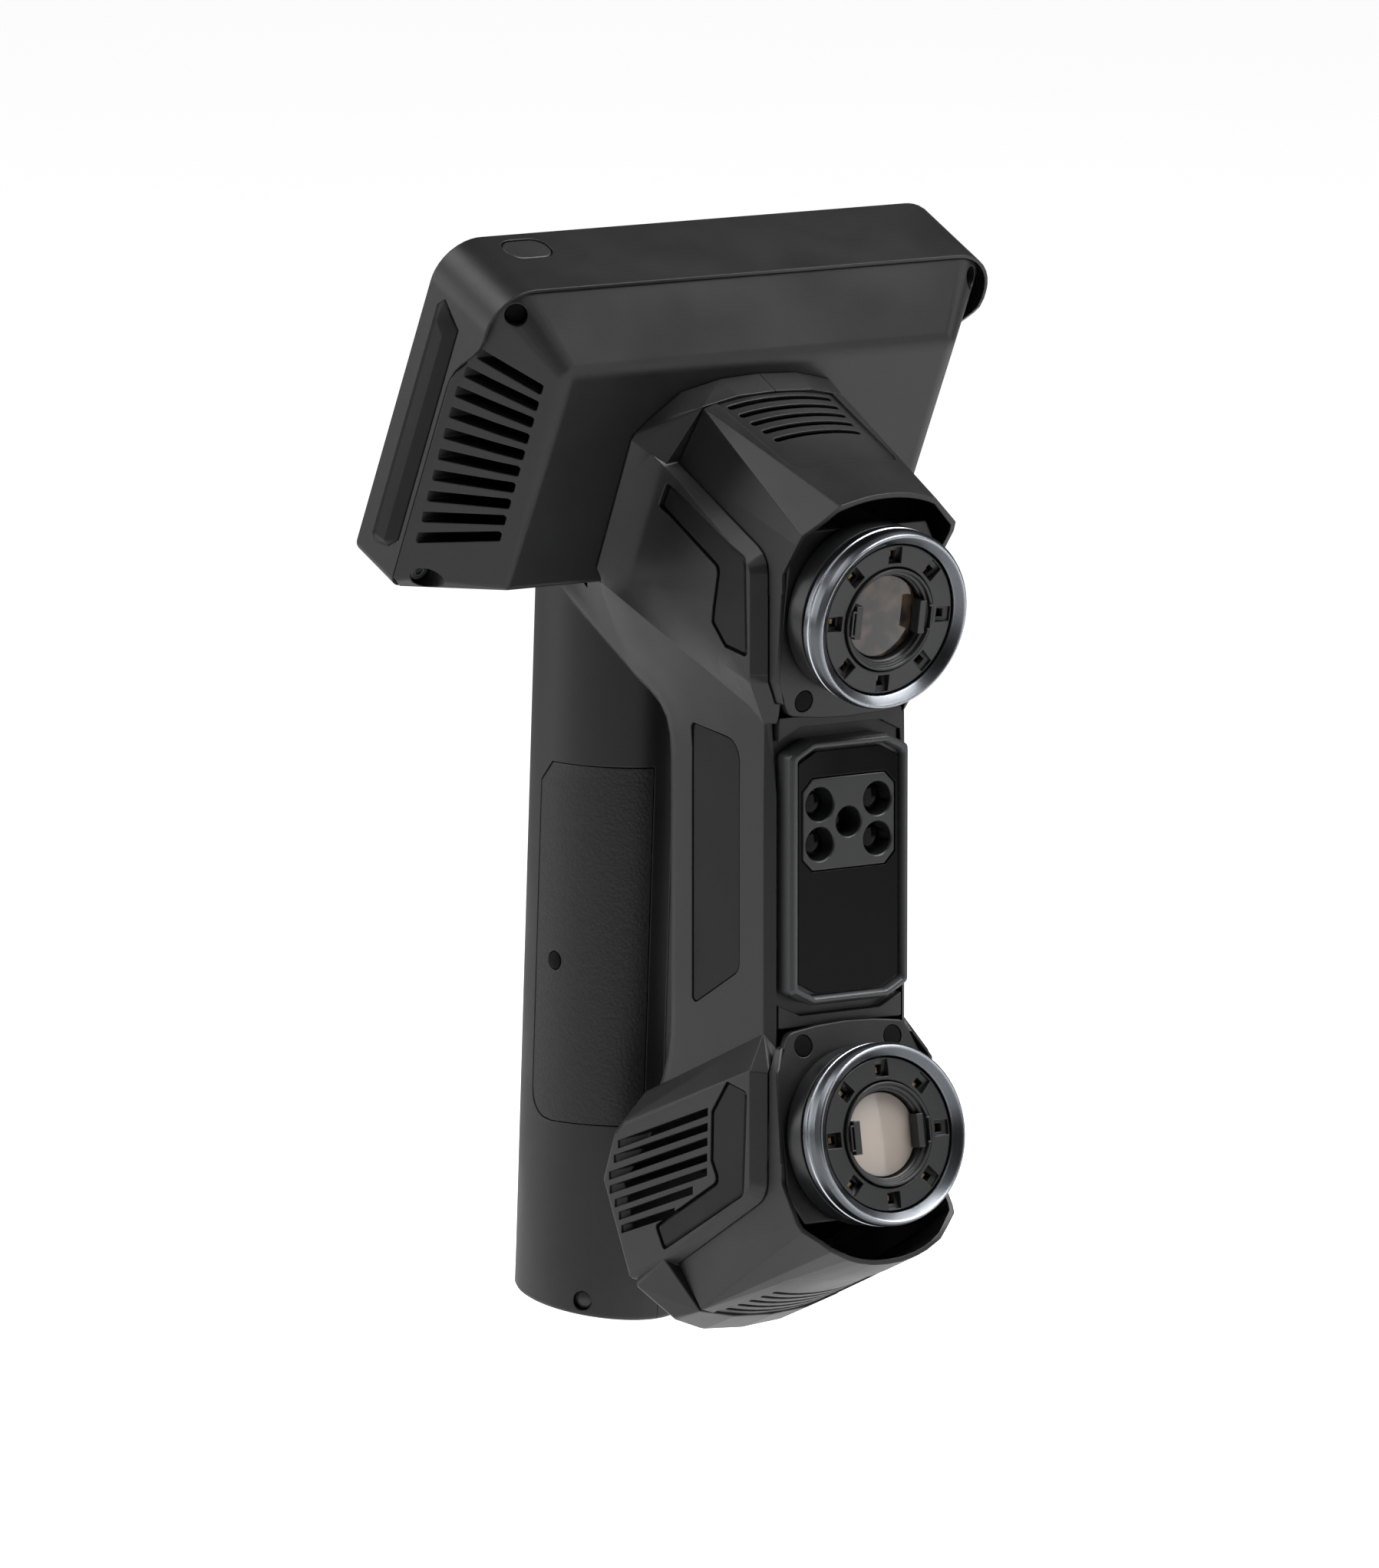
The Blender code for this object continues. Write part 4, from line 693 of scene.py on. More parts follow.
def upper_flank():
    """Side of the neck beside the upper camera; it widens into the head over its last stretch."""
    rows = []
    stations = list(range(5)) + [4.2, 4.4, 4.55, 4.7, 4.85, 5.0]
    tops = [(along(EDGE_LINE, s / 5), along(SEAM_LINE, s / 5)) for s in stations]
    rear = [(37.0, 103.5), (38.2, 104.8), (39.8, 106.6), (41.8, 108.9), (44.0, 111.4), (49.0, 115.0)]
    tops += [(Vector(p), Vector((p[0] + 0.3, p[1] + 1.0))) for p in rear[1:]]
    for edge, seam in tops:
        depth = before_head(*edge)
        low = crossing(CREASE, depth) if depth > 0 else Vector((61.3, 75.3)) + Vector((0.9, 0.43)) * -depth
        swell = max(0.0, 1.0 - max(depth, -4.0) / FLARE) ** 2
        share = min(max(1 - depth / before_head(*UNDER_FRONT[1:]), 0.0), 1.06)
        under = UNDER_FRONT.lerp(UNDER_REAR, share)
        row = [tuple(under)]
        for k in range(6):
            spot = low.lerp(edge, k / 5)
            row.append((HORN_HALF + (6.5 + k / 5) * swell, spot.x, spot.y))
        inset = SEAM_HALF if edge.x < 37.01 else HORN_HALF + 7 * swell - 1.5
        rows.append(row + [(inset, seam.x, seam.y)])
    return slab("flank", rows)


# Top of the finger gap, as (y, z).
ARCH = [(49.5, 26.0), (49.8, 30.5), (50.9, 34.0), (53.2, 36.8), (56.8, 39.2), (61.6, 41.6), (66.5, 44.1),
        (71.2, 46.5), (80.1, 51.2), (90.6, 56.8), (99.3, 61.6)]


def bar_and_arch():
    """The optics bar and, growing out of its rear, the arch over the finger gap."""
    roof = [UNDER_FRONT.lerp(UNDER_REAR, k / 5) + Vector((-0.3, 0.0, 0.8)) for k in range(6)]
    roof += [Vector(p) for p in ((29.5, 69, 73), (26.5, 77, 73), (23, 86, 73), (20, 95, 74), (17, 104, 76))]
    rear = [(61.0, -73.0), (58.0, -69.0), (55.4, -64.5), (53.0, -59.5), (51.0, -54.0), (49.8, -48.0),
            (BAR_DEPTH, -42.0), (BAR_DEPTH, 0.0), (BAR_DEPTH, 18.0)]
    stations = [(Vector((BAR_HALF, BAR_CHAMFER, z)), Vector((y, z))) for y, z in rear]
    stations += list(zip(roof, [Vector(p) for p in ARCH]))
    straight = len(rear)
    rows = []
    for index, (front, rear) in enumerate(stations):
        if index < straight:
            start, inward = Vector((BAR_HALF - BAR_CHAMFER, 0.0, front.z)), Vector((-1.0, 0.0))
        else:
            start = front + Vector((-3.0, 0.0, 4.0))
            inward = (Vector((front.y, front.z)) - rear).normalized()
            inward = Vector((-1.0, 0.0)).lerp(inward, min((index - straight + 1) / 4, 1.0)).normalized()
        half = BAR_HALF - 2.2 * max(0.0, index - straight - 5) / 5
        row = [tuple(start), tuple(front)]
        foot = rear + inward * BAR_REAR_RADIUS
        for k in range(1, 6):
            spot = Vector((front.y, front.z)).lerp(foot, k / 6)
            row.append((front.x + (half - front.x) * k / 6, spot.x, spot.y))
        for k in range(7):
            turn = k * pi / 12
            spot = rear + inward * BAR_REAR_RADIUS * (1 - sin(turn))
            row.append((half - BAR_REAR_RADIUS * (1 - cos(turn)), spot.x, spot.y))
        rows.append(row)
    return slab("bar", rows)


def handle_centre(z):
    return BASE_Y - (z - BASE_Z) * tan(radians(HANDLE_TILT))


def oval(half_x, half_y, z, tilt=0.0):
    """Oval ring round the handle's axis; tilt leans it so that its rear edge is the higher."""
    ring = []
    for i in range(72):
        x, y = ring_point(1.0, i, 72)
        ring.append((half_x * x, handle_centre(z) + half_y * y, z + half_y * y * tan(radians(tilt))))
    return ring


def handle_loft(name, half_x, half_y, foot, heights):
    """Oval post on the tilted base; foot gives its lower edge, as (inset, rise) pairs."""
    rings = [oval(half_x - inset, half_y - inset, BASE_Z + rise, BASE_TILT) for inset, rise in foot]
    return loft(name, rings + [oval(half_x, half_y, z) for z in heights])


def grip():
    return handle_loft("grip", HANDLE_A, HANDLE_B, [(1.3, 0.0), (0.55, 0.45), (0.0, 1.4)],
                       (-118.0, -60.0, 0.0, 30.0, 60.0, 84.0))


def thumb_matrix():
    """Frame on the thumb slope: X across, Y up the slope, Z out of it."""
    run = (THUMB_TOP - THUMB_LOW).normalized()
    turn = Matrix((Vector((-1, 0, 0)), run, Vector((0, run.z, -run.y)))).transposed()
    return DATUM @ Matrix.Translation((THUMB_TOP + THUMB_LOW) / 2) @ turn.to_4x4()


THUMB = thumb_matrix()


def body_cavity():
    """Room inside the shells for optics, boards and the battery."""
    inner = HORN_HALF - WALL
    room = prism("room", [(-20.4, -5), (20.4, -5), (20.4, 40), (14, 46.8), (-14, 46.8), (-20.4, 40)], -64, 46)
    upper = [(22.6, -14, 46.5), (22.6, -14, 84), (inner, 3.8, 54.0), (inner, 3.8, 78.5), (inner, 37.5, 99.0),
             (20.0, 3.0, 46.5), (20.0, 42.0, 48.0), (18.0, 10.0, 100.0), (26.8, 47.0, 103.0),
             (26.8, 58.0, 79.0), (25.0, 58.0, 73.5), (18.0, 80.0, 66.0)]
    crest = [(20.0, 24.0, 110.0), (21.5, 37.0, 117.5), (0.0, 24.0, 114.0), (0.0, 34.0, 121.0),
             (29.0, 49.0, 96.0), (24.0, 30.0, 98.0)]
    lower = [(22.6, -14, -46.5), (22.6, -14, -84), (inner, 3.8, -60.0), (inner, 3.8, -78.5),
             (inner, 37.5, -99.0), (20.0, 3.0, -46.5), (20.0, 42.0, -63.0), (18.0, 10.0, -100.0),
             (inner, 52.5, -110.0), (inner, 60.0, -89.0), (inner, 54.0, -79.0)]
    keel = [(20.0, 26.0, -112.0), (20.0, 40.0, -119.0), (0.0, 26.0, -114.0), (0.0, 40.0, -122.0),
            (23.0, 48.0, -111.0)]
    bore = loft("bore", [oval(HANDLE_A - 3.1, HANDLE_B - 3.1, z) for z in (-150.0, -20.0, 44.0)])
    passage = [(15.0, 64.0, 59.0), (17.0, 64.0, 66.0), (14.0, 82.0, 62.0), (14.0, 100.0, 44.0),
               (14.0, 112.0, 44.0), (14.0, 100.0, 62.0), (13.0, 84.0, 56.0)]
    rooms = [hull("room", mirrored(points)) for points in (upper, crest, lower, keel)]
    return join(room, *rooms, bore, hull("passage", mirrored(passage)))


INLAYS = {True: [(39.6, 93.1), (36.4, 99.1), (2.5, 82.7), (1.8, 57.8), (11.4, 59.4), (17.0, 65.0),
                 (16.5, 69.0), (14.2, 79.5)],
          False: [(42.0, -98.0), (38.6, -103.6), (3.2, -84.0), (1.8, -57.0), (10.4, -55.5), (17.0, -64.0),
                  (17.3, -77.0), (14.2, -82.2)]}


def inlay_outline(upper, grow):
    return filleted(grown(INLAYS[upper], grow), [1.0, 1.0, 3.0, 1.5, 1.0, 1.5, 0.8, 2.0], 4)


def inlay(side, upper):
    """Faceted trim piece let into the flank beside the hood's seam."""
    outline = inlay_outline(upper, 0.0)
    facets = [(1.5, 0.0), (0.75, 0.0), (0.35, 0.55), (0.15, 0.75)]
    levels = [(side * (HORN_HALF - depth), grown(outline, -inset)) for depth, inset in facets]
    return stack("inlay", levels, "X")


def inlay_pocket(side, upper):
    low, high = sorted((side * (HORN_HALF - 1.8), side * (HORN_HALF + 3.0)))
    return prism("pocket", inlay_outline(upper, GAP + 0.1), low, high, "X")


def panel_outline(grow):
    """Slanted-end name panel on the bar's flank, left blank."""
    corners = [(13.5, -26.8), (34.2, -38.3), (34.2, 36.2), (13.6, 33.2)]
    return filleted(grown(corners, grow), [4.0 + grow, 1.2 + grow, 1.2 + grow, 6.0 + grow], 6)


def grille(side):
    """Deep slanted vents in the lower flank behind the inlay, their floors rising at the rear end."""
    rear = [(59.2, -77.6), (61.1, -81.8), (63.3, -86.6), (63.0, -90.3), (60.7, -93.6), (58.8, -96.7),
            (57.7, -100.1)]
    front = [(18.8, -63.2), (18.9, -67.2), (19.0, -71.1), (19.1, -75.3), (19.2, -79.2), (25.5, -85.0),
             (33.6, -91.9)]
    tools = []
    for back, fore in zip(rear, front):
        slope = Vector(back).lerp(Vector(fore), 0.17)
        points = []
        for (y, z), inside in ((fore, 24.0), (slope, 24.0), (back, HORN_HALF - 0.6)):
            points += [(side * x, y, z - drop) for x in (inside, 33.0) for drop in (0.0, 2.2)]
        tools.append(hull("slot", points))
    return together(*tools)


PAD_LOW, PAD_HIGH, PAD_START, PAD_END = -79.0, 17.5, 11.5, -74.0
DEGREES_PER_MM = 2.4


def grip_pad(side, grow, outer, inner):
    """Part of the oval's wall, its top rear corner cut off and its lower rear corner rounded."""
    low = [(8.0 - (64 - (8 - d) ** 2) ** 0.5, d) for d in (0.0, 0.6, 1.6, 3.2, 5.2, 8.0)]
    high = [(0.0, 5.5), (5.0, 0.0)]
    levels = [(PAD_LOW - grow + d, offset) for offset, d in low]
    levels += [(PAD_HIGH + grow - d, offset) for offset, d in high]
    rings = []
    for z, offset in levels:
        start = radians(PAD_START + (grow - offset) * DEGREES_PER_MM)
        end = radians(PAD_END - grow * DEGREES_PER_MM)
        angles = [start + (end - start) * k / 40 for k in range(41)]
        rings.append([(side * (HANDLE_A + reach) * cos(t), handle_centre(z) + (HANDLE_B + reach) * sin(t), z)
                      for reach, order in ((outer, angles), (inner, angles[::-1])) for t in order])
    return loft("pad", rings)


def lower_body():
    """Housing round the lower camera, and the keel under it."""
    seam = [(SEAM_HALF, y, -z)
            for y, z in filleted([(-3.2, 51.5), (-3.2, 84.5), (36.9, 108.0)], [0, 8.0, 0], 4)]
    edge = [(HORN_HALF, y, -z)
            for y, z in filleted([(0.3, 51.0), (0.3, 82.6), (38.0, 106.0)], [0, 3.9, 0], 4)]
    rear = [(HORN_HALF, y, z)
            for y, z in ((54.7, -114.3), (67.0, -89.0), (62.5, -77.0), (57.7, -73.0), (0.4, -53.5))]
    under = [(BAR_HALF, 2.7, -42.0), (BAR_HALF, 24.3, -52.1), (BAR_HALF, 55.0, -64.3), (20.0, 58.0, -66.0),
             (20.0, 69.5, -89.0), (20.0, 57.0, -115.8)]
    points = seam + edge + rear + under
    radii = [0.3] * len(seam) + [0.5] * len(edge) + [2.2] * 4 + [1.0] + [0.3, 1.5, 2.5] + [2.2] * 3
    body = soft_hull("lower_body", mirrored(points), radii * 2)
    keel = [(25.3, 37.2, -108.2), (22.6, 31.2, -119.9), (22.6, 43.0, -124.0), (29.0, 54.7, -114.3),
            (29.0, 38.6, -106.3), (12.0, 30.2, -122.2), (0.0, 29.9, -122.9), (12.0, 44.6, -128.1),
            (0.0, 45.0, -129.0), (18.0, 57.0, -117.0)]
    radii = [0.0, 0.4, 2.2, 2.2, 0.4, 0.4, 0.4, 2.5, 2.5, 2.2]
    return join(body, soft_hull("keel", mirrored(keel), radii * 2))


def build_shells():
    horn_root = [(20.1, 0.05, 39.5), (22.8, 2.75, 39.5), (22.0, -1.45, 46.0), (25.25, -3.15, 50.8),
                 (28.95, 0.35, 50.9), (25.25, -3.15, 57.0), (28.95, 0.35, 57.0), (23.7, 9.1, 44.3),
                 (28.95, 9.1, 53.7), (28.95, 9.1, 57.0), (18, 0.05, 42), (10, 0.05, 42)]
    collar = [(25.2, 37.2, 104.7), (22.6, 30.1, 119.5), (12, 29.1, 121.8), (0, 28.8, 122.3),
              (29.2, 37.7, 103.8), (36.5, 44.2, 111.2), (24.0, 38.5, 123.1), (12.0, 37.0, 125.8),
              (0.0, 36.5, 126.3), (33.0, 48.0, 106.0), (38.0, 48.0, 113.0), (24.0, 43.0, 125.0),
              (0.0, 41.0, 128.0), (26.0, 46.0, 92.0)]
    whole = join(bar_and_arch(), upper_flank(), hull("horn_root", mirrored(horn_root)),
                 hull("collar", mirrored(collar)), lower_body(), grip())
    cut(whole, body_cavity(), hood_space(True), hood_space(False), head_space())
    cut(whole, box("thumb_slope", (-60, -90, 0), (60, 90, 90), THUMB),
        box("front_window", (-20.15, -30, -46), (20.15, 6, 46)),
        prism("thumb_recess", thumb_outline(PANEL_HALF + GAP), -2.4, 9, "Z", THUMB))
    for side, word in SIDES:
        low, high = sorted((side * (BAR_HALF - 1.2), side * (BAR_HALF + 3)))
        cut(whole, inlay_pocket(side, True), inlay_pocket(side, False),
            prism("panel_pocket", panel_outline(GAP), low, high, "X"), grille(side),
            grip_pad(side, GAP, 2.0, -1.2))
    cut(whole, disc("base_screw_well", 2.7, -2.6, 6.0, BASE_SCREW),
        *[plate_space(word, 12) for word in CAMERAS])
    copy = bpy.data.objects.new("right_half", whole.data.copy())
    SCENE.collection.objects.link(copy)
    left = keep(whole, box("left_side", (-200, -200, -300), (-GAP / 4, 300, 300)))
    right = keep(copy, box("right_side", (GAP / 4, -200, -300), (200, 300, 300)))
    dress(left, "body_shell_left", "shell")
    dress(right, "body_shell_right", "shell")


def build_trim():
    for side, word in SIDES:
        dress(inlay(side, True), "upper_inlay_" + word, "black_trim", smooth=20)
        dress(inlay(side, False), "lower_inlay_" + word, "black_trim", smooth=20)
        low, high = side * (BAR_HALF - 0.9), side * (BAR_HALF - 0.2)
        face = plate("panel", panel_outline(0.0), low, high, "X", edge=0.35)
        dress(face, "side_panel_" + word, "black_trim")
        pad = grip_pad(side, 0.0, -0.1, -0.9)
        if side < 0:
            cut(pad, disc("plug_seat", 2.6, -6, 6, GRIP_PLUG))
            dress(disc("plug", 2.35, -1.3, 0.05, GRIP_PLUG, edge=0.3), "grip_plug", "screw_cap", extra=True)
        dress(pad, "grip_pad_" + word, "soft_rubber")
    screw = disc("base_screw", 2.3, -2.4, -1.6, BASE_SCREW, edge=0.4)
    dress(screw, "base_screw", "graphite_frame", extra=True)


# ---------------------------------------------------------------- hoods and optics

# Arcs of a hood's roof, as (half width, front y, top z, y bend, z drop), at the lip and at the rear seam.
ROOF = {True: ((16.6, -21.0, 100.5, 1.0, 3.1), (22.6, 28.6, 122.2, 1.3, 2.8)),
        False: ((18.65, -21.0, 102.0, 0.3, 6.0), (22.6, 29.8, 122.6, 1.3, 3.0))}
ROOF_RUN, ROOF_RISE = 0.917, 0.401
# Side view of the lip, from the seam to past the roof, as (y, z).
LIP = {True: [(-8.7, 78.0), (-8.7, 80.0), (-15.1, 88.2), (-18.6, 94.0), (-20.2, 97.6), (-21.0, 100.6),
              (-23.0, 108.0)],
       False: [(-8.7, 78.0), (-8.7, 80.0), (-15.2, 89.4), (-19.0, 94.5), (-20.6, 97.6), (-21.2, 102.0),
               (-23.0, 110.0)]}


def roof_point(upper, across, back):
    """Point on the roof: across runs from -1 to 1, back from 0 at the lip to 1 at the rear seam."""
    half, y, z, bend, drop = (a + (b - a) * back for a, b in zip(*ROOF[upper]))
    reach = abs(across)
    return Vector((half * across, y + bend * reach ** 2, z - drop * reach ** 2.2))


def hood_corners(upper, inset=0.0):
    """Half of the hood's corner points with their rounding radii, run out past the lip."""
    low, crest = LIP[upper][1:3]
    high = 104.5 if upper else 108.0
    side = SEAM_HALF - inset
    tilt = Vector((0, -0.954, -0.299)) * 12
    drop = Vector((0, 0.40, -0.92)) * inset
    points = [(Vector((side, *low)) + tilt, 0.5), (Vector((side, *crest)) + tilt + drop * 0.5, 1.0)]
    shift = Vector((0, 10.0, 4.4)) if inset else Vector()
    seam = filleted([(-3.2, 74.0), (-3.2, 84.5), (36.9, high)], [0, 8.0, 0], 4)
    points += [(Vector((side, y, z)) + shift * (0.1 if y < 0 else 1.0), 0.0) for y, z in seam]
    for k in range(6):
        across = k / 5 * (1.0 - 0.9 * inset / 20)
        points += [(roof_point(upper, across, -0.24) + drop, 2.4 if k == 5 else 0.0),
                   (roof_point(upper, across, 1.0) + drop + shift, 0.8 if k == 5 else 0.0)]
    return points


def hood_hull(name, upper, inset=0.0):
    points, radii = zip(*hood_corners(upper, inset))
    return soft_hull(name, flipped(mirrored(points), upper), radii * 2)


def lip_cutter(upper):
    """Everything in front of the hood's lip, as a prism across the object."""
    outline = LIP[upper] + [(-80, 120), (-80, 60), (-8.7, 60)]
    return prism("lip", [(y, z if upper else -z) for y, z in outline], -60, 60, "X")


def cheek_points(grow=0.0):
    """Narrow strip of the hood beside the lens plate, on one side."""
    outer, inner = SEAM_HALF + grow, SEAM_HALF - 1.15
    back = -3.2 + grow
    return [(outer, -9.0, 82), (outer, -6.2, 51.5), (outer, back, 51.5 - grow), (outer, back, 79),
            (inner, -9.0, 82), (inner, -6.2, 50.5), (inner, back, 50.5), (inner, back, 82),
            (22.2 + grow, -3.6, 45.6), (22.2 + grow, -1.6 + grow, 45.6 - grow), (21.0, -3.4, 45.0),
            (21.0, -1.6 + grow, 45.0)]


def hood_space(upper):
    """Room that a hood takes from the side shells."""
    cloud = [p + way * GAP for p, radius in hood_corners(upper) for way in ball_directions(1)]
    cloud += [p + Vector((0, -8, 14)) for p, radius in hood_corners(upper)]
    cheek = cheek_points(GAP) + [(x, y - 12, z) for x, y, z in cheek_points(GAP)]
    return join(hull("space", flipped(mirrored(cloud), upper)),
                hull("cheek", flipped(mirrored(cheek), upper)))


def roof_frame(upper):
    """Frame on the roof at the middle of the lip: X across, Y back along the roof, Z out of it."""
    way = 1 if upper else -1
    axes = Vector((1, 0, 0)), Vector((0, ROOF_RUN, ROOF_RISE * way)), Vector((0, -ROOF_RISE, ROOF_RUN * way))
    lip = Vector((0, ROOF[upper][0][1], ROOF[upper][0][2] * way))
    return DATUM @ Matrix.Translation(lip) @ Matrix(axes).transposed().to_4x4()


def roof_panel(upper):
    """Shallow recess in the roof round the vents, its front corners rounded."""
    outline = filleted([(-19.6, 70.0), (-16.6, 17.4), (16.6, 17.4), (19.6, 70.0)], [0, 5.0, 5.0, 0], 6)
    panel = prism("roof_panel", outline, -6.0, 8.0, "Z", roof_frame(upper))
    return cut(panel, hood_hull("floor", upper, 0.6))


def roof_slots(upper):
    """Five vents across the roof."""
    tools = []
    for k in range(5):
        half, distance = 16.6 - 0.7 * k, 51.4 - 4.5 * k
        outline = filleted(rectangle(-half, distance - 1.0, half, distance + 1.0), 0.9, 3)
        tools.append(prism("slot", outline, -9.0, 6.0, "Z", roof_frame(upper)))
    return together(*tools)


def build_hood(word):
    upper = word == "upper"
    made = cut(hood_hull("hood", upper), lip_cutter(upper))
    for side, name in SIDES:
        join(made, hull("cheek", flipped([(-side * x, y, z) for x, y, z in cheek_points()], upper)))
    room = [p for p, radius in hood_corners(upper, LIP_WALL)]
    room += [Vector((SEAM_HALF - LIP_WALL, y, 60.0)) for y in (-24.0, 6.0)]
    cut(made, soft_hull("room", flipped(mirrored(room), upper), 0.5), plate_space(word, 40),
        disc("optics_way", SPIGOT_RADIUS + GAP, -60, 0, CAMERAS[word], segments=64), roof_panel(upper),
        roof_slots(upper))
    dress(made, word + "_hood", "shell")


def plate_outline(word):
    """Lens plate seen along the lens, its narrow end towards the bar."""
    corners = [(-18.4, -28.7), (-9.0, -29.9), (0.0, -30.3), (9.0, -29.9), (18.4, -28.7), (23.9, -18.5),
               (23.9, 14.0), (19.5, 21.5), (-19.5, 21.5), (-23.9, 14.0), (-23.9, -18.5)]
    rounded = filleted(corners, [2.6, 0, 0, 0, 2.6, 3.0, 1.0, 1.0, 1.0, 1.0, 3.0], 4)
    return [(x, y * UP[word]) for x, y in rounded]


def plate_space(word, high):
    """Room for a lens plate, cut out to a height above the lens frame."""
    back = PLATE_FRONT - PLATE_THICK - GAP
    return prism("plate_space", grown(plate_outline(word), GAP), back, high, "Z", CAMERAS[word])


def build_lens(word):
    place = CAMERAS[word]
    bar = plate("lens_plate", plate_outline(word), PLATE_FRONT - PLATE_THICK, PLATE_FRONT, "Z", place, 0.5)
    for side, name in SIDES:
        seat = (14.4 * side, -24.8 * UP[word])
        cut(bar, disc("cap_seat", 2.95, PLATE_FRONT - 1.4, PLATE_FRONT + 5, place, seat))
        dress(disc("cap", 2.75, PLATE_FRONT - 1.1, PLATE_FRONT - 0.1, place, seat, edge=0.2),
              "%s_plate_cap_%s" % (word, name), "screw_cap")
    cut(bar, disc("bore", SPIGOT_RADIUS + GAP, -40, 10, place, segments=96))
    dress(bar, word + "_lens_plate", "shell")
    barrel = [(14.0, -17.0), (20.4, -17.0), (20.4, -12.8), (22.9, -12.8), (23.5, -12.2), (23.5, -6.2),
              (14.0, -6.2)]
    dress(turned("barrel", barrel, place), word + "_barrel", "black_barrel")
    ring = [(20.4, -5.9), (22.9, -5.9), (23.25, -5.7), (23.9, -4.7), (24.0, -4.4), (24.0, -2.9),
            (23.75, -2.7), (23.75, -2.2), (24.0, -2.0), (24.0, 0.4), (23.9, 0.9), (23.45, 2.0),
            (23.2, 2.3), (22.9, 2.4), (22.5, 2.2), (20.6, 0.5), (20.4, 0.1)]
    dress(turned("bezel", ring, place, 128), word + "_bezel_ring", "anodised_ring")
    build_lights(word, place)
    window = [(11.4, -8.0), (13.7, -8.0), (13.7, 0.5), (13.5, 0.7), (13.1, 0.7), (12.9, 0.5), (12.7, -0.4),
              (12.0, -0.6), (11.8, -1.4), (11.4, -1.7)]
    dress(turned("window", window, place), word + "_window_ring", "black_barrel")
    glass = [(0, -4.6), (11.1, -4.6), (11.1, -3.4), (10.9, -3.2), (7.5, -2.95), (4.0, -2.8), (0, -2.75)]
    dress(turned("glass", glass, place), word + "_window_glass", "coated_glass",
          look=None if word == "upper" else BEIGE_GLASS)
    tabs = [box("tab", (x, -4.4, -2.6), (x + 2.0, 4.4, 0.75), place) for x in (-11.2, 9.2)]
    dress(together(*tabs), word + "_window_tabs", "black_barrel", extra=True)
    clips = []
    for side in (-1, 1):
        outline = [(12.4, -3.4), (12.85, -3.4), (12.85, 3.4), (12.4, 3.4), (11.7, 3.4), (11.7, 3.0),
                   (12.4, 3.0), (12.4, -3.0), (11.7, -3.0), (11.7, -3.4)]
        clips.append(prism("clip", [(side * x, y) for x, y in outline], 0.85, 1.5, "Z", place))
    dress(together(*clips), word + "_window_clips", "black_barrel", extra=True)


def build_lights(word, place):
    """Ring of eight pockets, each with a deeper square hole that holds a diode."""
    profile = [(14.1, -5.0), (20.0, -5.0), (20.0, -0.15), (19.8, 0.0), (14.3, 0.0), (14.1, -0.2)]
    ring = turned("lights", profile, place)
    pocket = [(x, y, z) for x, z in ((15.1, -2.3), (19.5, -1.0)) for y in (-1.9, 1.9)]
    pocket += [(x, y, 3.0) for x in (15.0, 19.7) for y in (-2.25, 2.25)]
    pockets, holes, diodes = [], [], []
    for i in range(8):
        turn = place @ Matrix.Rotation(2 * pi * i / 8, 4, "Z")
        pockets.append(hull("pocket", pocket, turn))
        holes.append(box("hole", (15.5, -1.1, -4.0), (18.2, 1.1, -1.0), turn))
        diodes.append(box("diode", (16.0, -0.75, -3.9), (17.5, 0.75, -3.2), turn))
    cut(ring, together(*pockets), together(*holes))
    dress(ring, word + "_light_ring", "black_barrel")
    dress(together(*diodes), word + "_diodes", "coated_glass", extra=True, look=AMBER)


# ---------------------------------------------------------------- projector

BLOCK_HEIGHT = 12.6
APERTURES = [(0.0, 0.0)] + [(x, z) for x in (-9.3, 9.3) for z in (-5.25, 5.25)]


